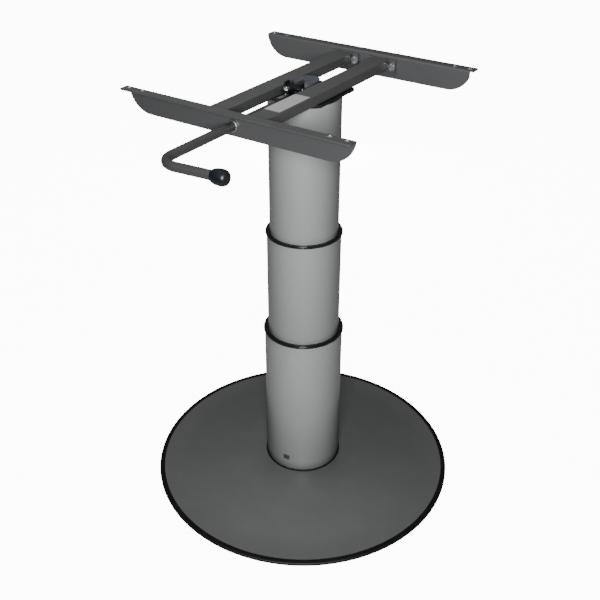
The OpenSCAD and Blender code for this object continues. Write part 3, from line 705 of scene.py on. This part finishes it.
def make_edge_trim(shapes):
    """The rubber edge: a C section with a round nose, which holds the plate's rim."""
    place, plate = Place("edge_trim"), Place("base_plate")
    height, edge = place.size[2], plate.radius()
    nose_radius = height / 2
    nose = place.radius() - nose_radius
    lip, low, high = edge - shapes.trim_lap, plate.low[2], plate.low[2] + shapes.base_sheet
    lower_ease, inner_ease, upper_ease = 0.3 * MM, 0.15 * MM, 0.35 * MM
    a = np.linspace(math.pi / 2, -math.pi / 2, 17)
    round_nose = np.stack([nose + nose_radius * np.cos(a), nose_radius + nose_radius * np.sin(a)], axis=1)
    lips = rounded([(lip, 0, lower_ease), (lip, low, inner_ease), (edge, low, 0), (edge, high, 0),
                    (lip, high, inner_ease), (lip, height, upper_ease)], 4)
    shape = turned(np.concatenate([round_nose, lips]), steps=WIDE_STEPS)
    dress("edge_trim", shape, "foot", "edge_rubber", rubber(), sharp=50)


def make_foot_gasket():
    """The gasket: a flat turned ring with the two corners of its outer edge eased."""
    place = Place("foot_gasket")
    outer, low, high = place.radius(), place.low[2], place.high[2]
    inner, lower_ease, upper_ease = 24 * MM, 0.4 * MM, 0.3 * MM
    outline = rounded([(outer, low, lower_ease), (outer, high, upper_ease),
                       (inner, high, 0), (inner, low, 0)])
    dress("foot_gasket", turned(outline), "foot", "edge_rubber", rubber())


def make_foot_screws():
    """Screws under the base, evenly round a circle, each a hexagon head on a round shank."""
    count, ring, across, head, shank, ease = 6, 45 * MM, 13 * MM, 5.3 * MM, 4 * MM, 0.5 * MM
    level = Place("foot_screws").low[2] + head
    outline = bar_outline(shank, Place("foot_disc").high[2] - level, high_ease=ease)
    heads, shanks = [], []
    for n in range(count):
        a = n * FULL_TURN / count
        at = (ring * math.cos(a), ring * math.sin(a), level)
        heads.append(hexagonal(across, head, 0.0, at, (0, 0, -1)))
        shanks.append(turned(outline, at, steps=32, ring=False))
    dress("foot_screws", joined(heads + shanks), "foot", "zinc_hardware", zinc())


# Column

def make_tube(node, body, wall, name=None):
    """A column tube: a closed section of outer and inner wall, its ends eased."""
    place = Place(node)
    outer, low, high = place.radius(), place.low[2], place.high[2]
    inner, ease = outer - wall, 0.4 * MM
    outline = rounded([(outer, low, ease), (outer, high, ease), (inner, high, ease), (inner, low, ease)], 3)
    dress(node, turned(outline, steps=WIDE_STEPS), body, "column_paint", column_coat(), name=name)


def make_outer_tube(shapes):
    """The outer tube as a grid of turn and height, with a recess where the plug sits.

    The outer wall's radius is the tube's, less the recess's depth inside the plug's window. At both ends
    it is less by the ease.
    """
    place, plug = Place("outer_tube"), Place("slot_plug")
    outer, bottom, top = place.radius(), place.low[2], place.high[2]
    depth, gap, step = 1.6 * MM, 0.05 * MM, 0.02 * MM
    end, ease, tiny = 0.5 * MM, 0.3 * MM, 1e-9
    middle = math.atan2(plug.middle[1], plug.middle[0])
    half_turn = math.asin((shapes.plug_width / 2 + gap) / outer)
    left, right = middle - half_turn, middle + half_turn
    edges = np.array([left - step / outer, left, right, right + step / outer])
    a = np.sort(np.concatenate([np.linspace(-math.pi, math.pi, WIDE_STEPS, endpoint=False), edges]))
    low, high = plug.low[2] - gap, plug.high[2] + gap
    h = np.array([bottom, bottom + end, low - step, low, high, high + step, top - end, top])
    inside_a = (a >= left - tiny) & (a <= right + tiny)
    inside_h = (h >= low - tiny) & (h <= high + tiny)
    eased = np.where((h == bottom) | (h == top), ease, 0)
    r_out = outer - eased[None, :] - depth * (inside_a[:, None] & inside_h[None, :])
    r_in = np.full((len(a), 2), outer - shapes.outer_wall)
    r = np.concatenate([r_out, r_in], axis=1)
    heights = np.concatenate([h, [top, bottom]])
    faces = grid_faces(len(a), len(heights), wrap_rows=True, wrap_columns=True)
    dress("outer_tube", (around(r, a[:, None], heights), faces), "foot", "column_paint", column_coat())


def make_plug(shapes):
    """The plug: a grid across its window, bulging a little in the middle and closed behind.

    The bulge is the root of one less a high power of the distance from the middle, across or upward.
    """
    plug, tube = Place("slot_plug"), Place("outer_tube")
    recess, bulge, behind, squareness = 1.5 * MM, 1.2 * MM, 2.2 * MM, 10
    middle = math.atan2(plug.middle[1], plug.middle[0])
    across = np.linspace(-1, 1, 13)[:, None]
    upward = np.linspace(-1, 1, 11)[None, :]
    soft = 1 - np.maximum(np.abs(across) ** squareness, np.abs(upward) ** squareness)
    r = tube.radius() - recess + bulge * soft ** 0.5
    a = middle + across * math.asin(shapes.plug_width / 2 / tube.radius())
    h = plug.middle[2] + upward * plug.size[2] / 2
    points = np.concatenate([around(r, a, h), around(tube.radius() - behind, a, h)])
    rows, columns = r.shape
    count = rows * columns
    faces = grid_faces(rows, columns)
    i, j = np.arange(rows), np.arange(columns)
    rim = np.concatenate([i[:-1] * columns, (rows - 1) * columns + j[:-1],
                          i[:0:-1] * columns + columns - 1, j[:0:-1]])
    after = np.roll(rim, -1)
    sides = np.stack([rim, after, after + count, rim + count], axis=1)
    faces = np.concatenate([faces, faces[:, ::-1] + count, sides])
    dress("slot_plug", (points, faces), "foot", "collar_plastic", plug_grey())


def make_collar(node, body, bore, sleeve, rim, round_off):
    """A collar: its rim laps over the tube's end and its sleeve goes down inside."""
    place = Place(node)
    edge, low, top = place.radius(), place.low[2], place.high[2]
    under, outside = top - rim, bore + sleeve
    mouth_ease, ease = 0.6 * MM, 0.3 * MM
    outline = rounded([(bore, top, mouth_ease), (bore, low, ease), (outside, low, ease), (outside, under, 0),
                       (edge, under, ease), (edge, top, round_off)], 6)
    dress(node, turned(outline, steps=192), body, "collar_plastic", glossy_black(), sharp=50)


# Frame

def make_welds(shapes):
    """Weld beads where the cross tubes meet the near rail: a round bead with ripples along its run.

    The run goes up one side of a tube, over its top and down the other side. Across the run the bead
    is a circle whose radius swells and falls with each ripple and shrinks at both ends.
    """
    bead = shapes.weld_size / 2
    corner, fade, ripple, ripple_pitch, sunk = 2 * MM, 2 * MM, 0.16, 1.6 * MM, 0.4
    parts = []
    for node in ("cross_tube_left", "cross_tube_right"):
        tube = Place(node)
        x0, x1, z0, z1 = tube.low[0], tube.high[0], tube.low[2], tube.high[2]
        path = rounded([(x0, z0, 0), (x0, z1, corner), (x1, z1, corner), (x1, z0, 0)], 6)
        span = np.linalg.norm(np.diff(path, axis=0), axis=1)
        along = np.concatenate([[0], np.cumsum(span)])
        s = np.linspace(0, along[-1], 150)
        x, z = np.interp(s, along, path[:, 0]), np.interp(s, along, path[:, 1])
        tangent = np.stack([np.gradient(x), np.gradient(z)], axis=1)
        tangent /= np.linalg.norm(tangent, axis=1, keepdims=True)
        outward = np.stack([-tangent[:, 1], tangent[:, 0]], axis=1)
        ends = np.clip(np.minimum(s, s[-1] - s) / fade, 0.02, 1) ** 0.5
        size = bead * (1 + ripple * np.abs(np.sin(s / ripple_pitch * math.pi))) * ends
        a = np.linspace(0, FULL_TURN, 10, endpoint=False)[None, :]
        out = size[:, None] * np.cos(a)
        inward = size[:, None] * np.sin(a)
        points = np.stack([x[:, None] + outward[:, :1] * out, tube.low[1] + inward + bead * sunk,
                           z[:, None] + outward[:, 1:] * out], axis=-1)
        parts.append((points.reshape(-1, 3), grid_faces(len(s), a.shape[1], wrap_columns=True)))
    add_piece("weld_beads", *joined(parts), "top_stage", "frame_paint", frame_coat(), sharp=60)


def make_hole_rims(shapes):
    """The bare edges of the rails' screw holes: a thin turned ring inside each hole."""
    sheet, rim, gap, ease, mouth_ease = shapes.rail_sheet, 0.7 * MM, 0.02 * MM, 0.1 * MM, 0.3 * MM
    inner, outer = shapes.hole_radius - rim, shapes.hole_radius - gap
    ring = rounded([(inner, 0, ease), (outer, 0, ease), (outer, sheet, ease), (inner, sheet, mouth_ease)], 3)
    parts = []
    for node, side in (("near_rail", -1), ("far_rail", 1)):
        rail = Place(node)
        fold = rail.low[1] if side > 0 else rail.high[1]
        for end in (-1, 1):
            for inward in (shapes.first_hole, shapes.first_hole + shapes.hole_pitch):
                at = (end * (rail.size[0] / 2 - inward), fold + side * shapes.hole_in, rail.high[2] - sheet)
                parts.append(turned(ring, at, steps=40))
    add_piece("hole_rims", *joined(parts), "top_stage", "zinc_hardware", zinc())


def bolt_places(shapes):
    """(x, z) of the four rail bolts, from the washers' node."""
    washers, tube = Place("rail_washers"), Place("cross_tube_right")
    outer = washers.high[0] - shapes.washer_radius
    inner = tube.middle[0] * 2 - outer
    return [(side * x, washers.middle[2]) for side in (-1, 1) for x in (inner, outer)]


def make_rail_bolts(shapes):
    """Hexagon bolts through the end plates and the far rail, with their washers and nuts."""
    bolts, washers, nuts = Place("rail_bolts"), Place("rail_washers"), Place("rail_nuts")
    radius, across, face = shapes.bolt_radius, shapes.bolt_across, Place("end_plates").low[1]
    neck, neck_length, thread_start = 2.9 * MM, 5 * MM, face + 4.5 * MM
    washer_bore, nut_bore, thick = 3.1 * MM, 3.02 * MM, washers.size[1]
    bore_ease, under_ease, upper_ease = 0.1 * MM, 0.2 * MM, 0.4 * MM
    ring = rounded([(washer_bore, 0, bore_ease), (shapes.washer_radius, 0, under_ease),
                    (shapes.washer_radius, thick, upper_ease), (washer_bore, thick, bore_ease)], 3)
    way = (0, 1, 0)
    heads, shanks, threads, rings, hexes = [], [], [], [], []
    for x, z in bolt_places(shapes):
        heads.append(hexagonal(across, face - bolts.low[1], 0.0, (x, face, z), (0, -1, 0)))
        shanks.append(turned(bar_outline(neck, neck_length), (x, face, z), way, steps=32, ring=False))
        threads.append(threaded(radius, bolts.high[1] - thread_start, shapes.screw_pitch,
                                (x, thread_start, z), way))
        rings.append(turned(ring, (x, washers.low[1], z), way, steps=48))
        hexes.append(hexagonal(across, nuts.size[1], nut_bore, (x, nuts.low[1], z), way, both_ends=True))
    dress("rail_bolts", joined(heads + shanks), "top_stage", "zinc_hardware", zinc(), name="rail_bolt_heads")
    add_threads("rail_bolt_threads", threads, "top_stage")
    dress("rail_washers", joined(rings), "top_stage", "zinc_hardware", zinc())
    dress("rail_nuts", joined(hexes), "top_stage", "zinc_hardware", zinc())


def add_threads(name, threads, body):
    """Threaded shanks in one piece: quads along the thread and triangles on the ends."""
    points, faces, start = [], [], 0
    for p, quads, caps in threads:
        points.append(p)
        faces += (quads + start).tolist() + (caps + start).tolist()
        start += len(p)
    mesh = bpy.data.meshes.new(name)
    mesh.from_pydata(np.concatenate(points).tolist(), [], faces)
    clean(mesh)
    return finish_piece(name, mesh, body, zinc(), sharp=80.0)


def make_plate_screws():
    """Countersunk screws that hold the head plate, each with a hexagon socket in its flat head."""
    place = Place("plate_screws")
    span, top = place.size[2], place.high[2]
    sink, shank, head, edge, edge_drop = 5.5 * MM, 3 * MM, 2.5 * MM, 0.25 * MM, 0.2 * MM
    socket, socket_depth, mouth, mouth_depth = 4 * MM, 1.8 * MM, 0.25 * MM, 0.3 * MM
    x, y = place.high[0] - sink, place.high[1] - sink
    steps = 96
    a = np.linspace(0, FULL_TURN, steps, endpoint=False)
    hollow, zero = hexagon_reach(a, socket), np.zeros_like(a)
    section = [(zero, zero - socket_depth), (hollow, zero - socket_depth), (hollow, zero - mouth_depth),
               (hollow + mouth, zero), (zero + sink - edge, zero), (zero + sink, zero - edge_drop),
               (zero + shank, zero - head), (zero + shank, zero - span), (zero, zero - span)]
    one, faces = section_round(section, a), grid_faces(steps, len(section), wrap_rows=True)
    parts = [(one + (side * x, end * y, top), faces) for side in (-1, 1) for end in (-1, 1)]
    dress("plate_screws", joined(parts), "top_stage", "black_screws", dark_steel())


def make_label():
    """The blank label: a thin sheet with round corners, whose grid runs from its middle out to its edge.

    Each ring is the edge's outline at a share of its distance from the middle, and sinks near the edge.
    """
    place = Place("blank_label")
    corner = 1.5 * MM
    x0, x1, y0, y1 = place.low[0], place.high[0], place.low[1], place.high[1]
    edge = rounded([(x0, y0, corner), (x1, y0, corner), (x1, y1, corner), (x0, y1, corner)], 6)
    middle = place.middle[:2]
    shares = np.array([0, 0.5, 0.9, 0.985, 1.0, 1.0])
    heights = np.array([1, 1, 1, 1, 0.6, 0]) * place.size[2]
    xy = middle + (edge[:, None] - middle) * shares[None, :, None]
    z = place.low[2] + heights[None, :] + 0 * xy[..., 0]
    top = np.concatenate([xy, z[..., None]], axis=-1).reshape(-1, 3)
    under = np.concatenate([edge, np.full((len(edge), 1), place.low[2])], axis=1)
    points = np.concatenate([top, under, [[*middle, place.low[2]]]])
    first, centre = len(top), np.full(len(edge), len(top) + len(edge))
    i = np.arange(len(edge))
    fan = np.stack([first + i, first + (i + 1) % len(edge), centre, centre], axis=1)
    faces = np.concatenate([grid_faces(len(edge), len(shares), wrap_rows=True), fan])
    dress("blank_label", (points, faces), "top_stage", "label_foil", label_foil())


# Lever

def make_lever_rod(shapes):
    """The lever rod: straight along the shaft, an arc round the bend's centre, straight along the handle.

    At both ends the circle shrinks by the ease over the last stretch, and then to nothing.
    """
    place = Place("lever_rod")
    radius, bend, lean = shapes.rod_radius, shapes.bend_radius, shapes.lean
    ease, tiny = 0.8 * MM, 1e-5
    inner_end = place.high[1]
    bend_y = place.low[1] + bend + radius
    way = np.array([math.cos(lean), math.sin(lean)])
    shaft_rows, bend_rows, handle_rows = 30, 33, 16
    shaft = np.linspace(inner_end, bend_y, shaft_rows)
    a = np.linspace(math.pi, 1.5 * math.pi + lean, bend_rows)[1:]
    along = np.linspace(0, shapes.handle + shapes.knob_depth, handle_rows)[1:]
    curve = np.stack([bend + bend * np.cos(a), bend_y + bend * np.sin(a)], axis=1)
    xy = np.concatenate([np.stack([0 * shaft, shaft], axis=1), curve, curve[-1] + along[:, None] * way])
    start, finish = np.array([0, inner_end]), xy[-1].copy()
    xy[0, 1] -= ease
    xy[-1] -= ease * way
    xy = np.concatenate([[start, start - (0, tiny)], xy, [finish - (tiny, 0), finish]])
    r = np.full(len(xy), radius)
    r[:2], r[-2:] = (0, radius - ease), (radius - ease, 0)
    path = np.concatenate([xy, np.full((len(xy), 1), place.middle[2])], axis=1)
    dress("lever_rod", swept_rod(path, r), "lever", "lever_paint", lever_coat())


def handle_line(shapes):
    """Where the knob starts and which way it points."""
    rod = Place("lever_rod")
    lean, bend = shapes.lean, shapes.bend_radius
    bend_y = rod.low[1] + bend + shapes.rod_radius
    end = np.array([bend + bend * math.sin(lean), bend_y - bend * math.cos(lean), rod.middle[2]])
    way = np.array([math.cos(lean), math.sin(lean), 0])
    return end + way * shapes.handle, way


def make_knob(shapes):
    """The knob: a narrow neck that swells to a blunt round end, smoothed through its outline's points."""
    start, way = handle_line(shapes)
    shares = np.array([[0, 0.62], [0.02, 0.7], [0.08, 0.8], [0.2, 0.9], [0.33, 0.965], [0.5, 1], [0.66, 1],
                       [0.8, 0.95], [0.9, 0.84], [0.96, 0.7], [0.99, 0.54], [1, 0.36], [1, 0]])
    t = np.linspace(0, len(shares) - 1, 60)
    spots = np.arange(len(shares))
    h, r = np.interp(t, spots, shares[:, 0]), np.interp(t, spots, shares[:, 1])
    kernel = np.ones(5) / 5
    h[2:-2], r[2:-2] = np.convolve(h, kernel, "valid"), np.convolve(r, kernel, "valid")
    outline = np.stack([np.append(0, r * shapes.knob_radius), np.append(0, h * shapes.knob)], axis=1)
    shape = turned(outline, start, way, steps=64, ring=False)
    dress("lever_knob", shape, "lever", "knob_plastic", knob_black(), sharp=60)


def make_bush():
    """The bright bush round the shaft: a turned ring with its outer rim chamfered."""
    place = Place("shaft_bush")
    outer, inner, span = place.radius(), 6.1 * MM, place.size[1]
    bore_ease, foot_ease, rim_ease, mouth_ease = 0.2 * MM, 0.3 * MM, 0.9 * MM, 0.4 * MM
    outline = rounded([(inner, 0, bore_ease), (outer, 0, foot_ease), (outer, span, rim_ease),
                       (inner, span, mouth_ease)], 4)
    at = (place.middle[0], place.high[1], place.middle[2])
    shape = turned(outline, at, (0, -1, 0), steps=64)
    dress("shaft_bush", shape, "top_stage", "zinc_hardware", turned_steel())


def make_clip():
    """The clip on the shaft: a ring whose outer edge dips, by a bell curve of the turn, where it opens."""
    place = Place("shaft_clip")
    steps, inner, dip, dip_width = 96, 6.05 * MM, 2.2 * MM, 0.28
    a = np.linspace(0, FULL_TURN, steps, endpoint=False)[:, None]
    outer = place.radius() - dip * np.exp(-((a - math.pi) / dip_width) ** 2)
    bore = np.full_like(a, inner)
    r = np.concatenate([bore, outer, outer, bore], axis=1)
    h = np.array([[0, 0, 1, 1]]) * place.size[1]
    points = set_on(around(r, a, h), (place.middle[0], place.low[1], place.middle[2]), (0, 1, 0))
    faces = grid_faces(steps, r.shape[1], wrap_rows=True, wrap_columns=True)
    dress("shaft_clip", (points, faces), "lever", "zinc_hardware", turned_steel())


def round_bar(node, body, made, axis, ease):
    """A round bar with eased ends, along X, Y or Z, in a node's box."""
    place = Place(node)
    way = np.eye(3)[axis]
    radius, span = place.radius((axis + 1) % 3), place.size[axis]
    outline = bar_outline(radius, span, ease, ease, 4)
    shape = turned(outline, place.middle - way * span / 2, way, steps=48, ring=False)
    dress(node, shape, body, "zinc_hardware", made)


def make_adjuster():
    """The adjusting screw with its thread, and its nut."""
    screw, nut = Place("adjusting_screw"), Place("adjusting_nut")
    up, pitch, nut_bore = (0, 0, 1), 0.8 * MM, screw.radius() * 1.01
    at = (screw.middle[0], screw.middle[1], screw.low[2])
    thread = threaded(screw.radius(), screw.size[2], pitch, at, up)
    piece = add_threads("adjusting_screw_thread", [thread], "rocker")
    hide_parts("adjusting_screw")
    at = (nut.middle[0], nut.middle[1], nut.low[2])
    shape = hexagonal(nut.size[0], nut.size[2], nut_bore, at, up, both_ends=True)
    dress("adjusting_nut", shape, "rocker", "zinc_hardware", zinc())


# Operators

class PEDESTAL_OT_base(bpy.types.Operator):
    """Makes the base plate, its rubber edge, the gasket and the foot screws"""
    bl_idname = "pedestal.base"
    bl_label = "Base"

    def execute(self, context):
        shapes = context.scene.pedestal_shapes
        make_base_plate(shapes)
        make_edge_trim(shapes)
        make_foot_gasket()
        make_foot_screws()
        return {"FINISHED"}


class PEDESTAL_OT_column(bpy.types.Operator):
    """Makes the three tubes, the collars and the plug"""
    bl_idname = "pedestal.column"
    bl_label = "Column"

    def execute(self, context):
        shapes = context.scene.pedestal_shapes
        make_outer_tube(shapes)
        make_plug(shapes)
        make_tube("mid_tube", "middle_stage", shapes.middle_wall, name="middle_tube_skin")
        make_tube("top_tube", "top_stage", shapes.top_wall)
        make_collar("lower_collar", "foot", shapes.lower_bore, shapes.lower_sleeve, shapes.collar_rim,
                    shapes.collar_edge)
        make_collar("upper_collar", "middle_stage", shapes.upper_bore, shapes.upper_sleeve, shapes.collar_rim,
                    shapes.collar_edge)
        return {"FINISHED"}


class PEDESTAL_OT_frame(bpy.types.Operator):
    """Makes the rails, cross tubes, end plates, head plate, welds and hole rims"""
    bl_idname = "pedestal.frame"
    bl_label = "Frame"

    def execute(self, context):
        shapes = context.scene.pedestal_shapes
        for node in ("near_rail", "far_rail", "cross_tube_left", "cross_tube_right", "end_plates"):
            softened(node, "top_stage", frame_coat(), shapes.sheet_edge)
        softened("head_plate", "top_stage", black_coat(), shapes.plate_edge)
        make_welds(shapes)
        make_hole_rims(shapes)
        return {"FINISHED"}


class PEDESTAL_OT_fasteners(bpy.types.Operator):
    """Makes the rail bolts with washers and nuts, and the head plate's screws"""
    bl_idname = "pedestal.fasteners"
    bl_label = "Fasteners"

    def execute(self, context):
        make_rail_bolts(context.scene.pedestal_shapes)
        make_plate_screws()
        return {"FINISHED"}


class PEDESTAL_OT_lever(bpy.types.Operator):
    """Makes the lever rod, its knob, bush, clip and bearing block"""
    bl_idname = "pedestal.lever"
    bl_label = "Lever"

    def execute(self, context):
        shapes = context.scene.pedestal_shapes
        make_lever_rod(shapes)
        make_knob(shapes)
        make_bush()
        make_clip()
        softened("shaft_block", "top_stage", glossy_black(), shapes.plate_edge)
        return {"FINISHED"}


class PEDESTAL_OT_linkage(bpy.types.Operator):
    """Makes the crank, its finger, the rocker, the release head and the valve pin"""
    bl_idname = "pedestal.linkage"
    bl_label = "Release linkage"

    def execute(self, context):
        shapes = context.scene.pedestal_shapes
        softened("crank_disc", "lever", black_coat(), shapes.plate_edge)
        softened("pivot_ears", "top_stage", black_coat(), shapes.sheet_edge)
        softened("rocker_arm", "rocker", black_coat(), shapes.sheet_edge)
        softened("release_head", "top_stage", blue_zinc(), shapes.head_edge)
        round_bar("crank_finger", "lever", zinc(), axis=1, ease=0.6 * MM)
        round_bar("pivot_pin", "top_stage", zinc(), axis=0, ease=0.4 * MM)
        round_bar("valve_pin", "valve", bright_steel(), axis=2, ease=0.5 * MM)
        make_adjuster()
        return {"FINISHED"}


class PEDESTAL_OT_label(bpy.types.Operator):
    """Makes the blank label on the cross tube"""
    bl_idname = "pedestal.label"
    bl_label = "Label"

    def execute(self, context):
        make_label()
        return {"FINISHED"}


class PEDESTAL_OT_inner(bpy.types.Operator):
    """Finishes the pieces inside the column, which keep their own meshes"""
    bl_idname = "pedestal.inner"
    bl_label = "Inner pieces"

    def execute(self, context):
        repaint(["foot_disc", "mid_carrier", "top_disc", "rod_piston", "spring_mid_piston"], turned_steel())
        repaint(["mid_guide_ring", "top_guide_ring", "outer_key", "mid_key"], guide_plastic())
        repaint(["spring_rod", "spring_mid_tube"], bright_steel())
        repaint(["spring_cylinder"], black_coat())
        repaint(["spring_mid_seal", "spring_cylinder_seal"], rubber())
        repaint(["rod_nut", "spring_mid_clip"], zinc())
        return {"FINISHED"}


class PEDESTAL_OT_stage(bpy.types.Operator):
    """Makes the floor, the soft lights and the camera"""
    bl_idname = "pedestal.stage"
    bl_label = "Studio"

    def execute(self, context):
        studio = context.scene.pedestal_studio
        make_floor(studio)
        make_lights(studio)
        make_camera(studio)
        return {"FINISHED"}


# Studio

CAMERA_AT = np.array([0.64054, -0.9618, 1.04199])
CAMERA_RIGHT = np.array([0.82857, 0.55989, 0.00277])
CAMERA_UP = np.array([-0.29709, 0.43545, 0.84978])


def make_floor(studio):
    """A pale, very wide floor that shows from above only."""
    half = 14.0
    corners = [(-half, -half, 0), (half, -half, 0), (half, half, 0), (-half, half, 0)]
    mesh = bpy.data.meshes.new("floor")
    mesh.from_pydata(corners, [], [(0, 1, 2, 3)])
    made = bpy.data.materials.new("pale_floor")
    made.use_nodes = True
    tree = made.node_tree
    skin = tree.nodes["Principled BSDF"]
    skin.inputs["Base Color"].default_value = rgba(studio.floor)
    skin.inputs["Roughness"].default_value = 0.9
    skin.inputs["Specular IOR Level"].default_value = 0.1
    skin.inputs["Emission Color"].default_value = (1, 1, 1, 1)
    seen = tree.nodes.new("ShaderNodeLightPath")
    glow = times(tree, seen.outputs["Is Camera Ray"], studio.glow)
    feed(tree, skin.inputs["Emission Strength"], plus(tree, glow, studio.floor_bounce))
    side = tree.nodes.new("ShaderNodeNewGeometry")
    feed(tree, skin.inputs["Alpha"], maths(tree, "SUBTRACT", 1.0, side.outputs["Backfacing"]))
    mesh.materials.append(made)
    floor = bpy.data.objects.new("floor", mesh)
    bpy.context.scene.collection.objects.link(floor)


def add_light(name, at, look_at, power, width, height, mirrored=True):
    """A soft rectangular light at one point that faces another; only a mirrored one shows in reflections."""
    light = bpy.data.lights.new(name, "AREA")
    light.shape = "RECTANGLE"
    light.size, light.size_y = width, height
    light.energy = power
    lamp = bpy.data.objects.new(name, light)
    z = np.array(at, float) - np.array(look_at, float)
    z /= np.linalg.norm(z)
    x = np.cross([0, 0, 1.0], z)
    x /= np.linalg.norm(x)
    y = np.cross(z, x)
    place_axes(lamp, x, y, z, at)
    lamp.visible_glossy = mirrored
    lamp.visible_camera = False
    bpy.context.scene.collection.objects.link(lamp)


def place_axes(thing, x, y, z, at):
    """Stands a lamp or camera at a point with the given axes."""
    rows = np.eye(4)
    rows[:3, 0], rows[:3, 1], rows[:3, 2], rows[:3, 3] = x, y, z, at
    thing.matrix_world = Matrix(rows.tolist())


def make_lights(studio):
    """The key light stands beside the camera, the fill far to its left, one above and one behind.

    Only the first two show in reflections. The surroundings are pale, and brighter to the camera's eye.
    """
    centre = (0, 0, 0.35)
    key_at = CAMERA_AT - CAMERA_RIGHT * 0.04 - CAMERA_UP * 0.05
    fill_at = CAMERA_AT * 1.2 - CAMERA_RIGHT * 1.8 + (0, 0, 0.8)
    back_at = CAMERA_AT * (-1.3, -1.3, 0.25)
    top_at, floor_centre = (-0.1, -0.1, 1.1), (0, 0, 0)
    add_light("key", key_at, centre, studio.key_power, width=0.35, height=0.35)
    add_light("fill", fill_at, centre, studio.fill_power, width=1.6, height=1.6)
    add_light("top", top_at, floor_centre, studio.top_power, width=0.4, height=0.4, mirrored=False)
    add_light("back", back_at, centre, studio.back_power, width=0.4, height=0.5, mirrored=False)
    world = bpy.data.worlds.new("pale surroundings")
    world.use_nodes = True
    tree = world.node_tree
    sky = tree.nodes["Background"]
    sky.inputs["Color"].default_value = (1, 1, 1, 1)
    seen = tree.nodes.new("ShaderNodeLightPath")
    shown = times(tree, seen.outputs["Is Camera Ray"], studio.glow)
    feed(tree, sky.inputs["Strength"], plus(tree, shown, studio.sky_strength))
    bpy.context.scene.world = world


def make_camera(studio):
    """The camera at the photograph's place; its back axis is its right axis crossed with its up axis."""
    camera = bpy.data.cameras.new("camera")
    camera.sensor_width = 36.0
    camera.lens = studio.camera_lens
    camera.clip_end = 60.0
    eye = bpy.data.objects.new("camera", camera)
    place_axes(eye, CAMERA_RIGHT, CAMERA_UP, np.cross(CAMERA_RIGHT, CAMERA_UP), CAMERA_AT)
    bpy.context.scene.collection.objects.link(eye)
    bpy.context.scene.camera = eye


OPERATORS = (PEDESTAL_OT_base, PEDESTAL_OT_column, PEDESTAL_OT_frame, PEDESTAL_OT_fasteners,
             PEDESTAL_OT_lever, PEDESTAL_OT_linkage, PEDESTAL_OT_label, PEDESTAL_OT_inner,
             PEDESTAL_OT_stage)


class PEDESTAL_PT_sidebar(bpy.types.Panel):
    """Lists the pedestal's pieces"""
    bl_idname = "PEDESTAL_PT_sidebar"
    bl_label = "Pedestal"
    bl_space_type = "VIEW_3D"
    bl_region_type = "UI"
    bl_category = "Pedestal"

    def draw(self, context):
        column = self.layout.column()
        for operator in OPERATORS:
            column.operator(operator.bl_idname)


SETTINGS = {"pedestal_shapes": PedestalShapes, "pedestal_colours": PedestalColours,
            "pedestal_studio": PedestalStudio}
CLASSES = (*SETTINGS.values(), *OPERATORS, PEDESTAL_PT_sidebar)


def register():
    for each in CLASSES:
        bpy.utils.register_class(each)
    for name, group in SETTINGS.items():
        setattr(bpy.types.Scene, name, bpy.props.PointerProperty(type=group))


def unregister():
    for name in SETTINGS:
        delattr(bpy.types.Scene, name)
    for each in reversed(CLASSES):
        bpy.utils.unregister_class(each)


def main():
    register()
    ops = bpy.ops.pedestal
    for step in (ops.base, ops.column, ops.frame, ops.fasteners, ops.lever, ops.linkage, ops.label, ops.inner,
                 ops.stage):
        step()


if __name__ == "__main__":
    main()
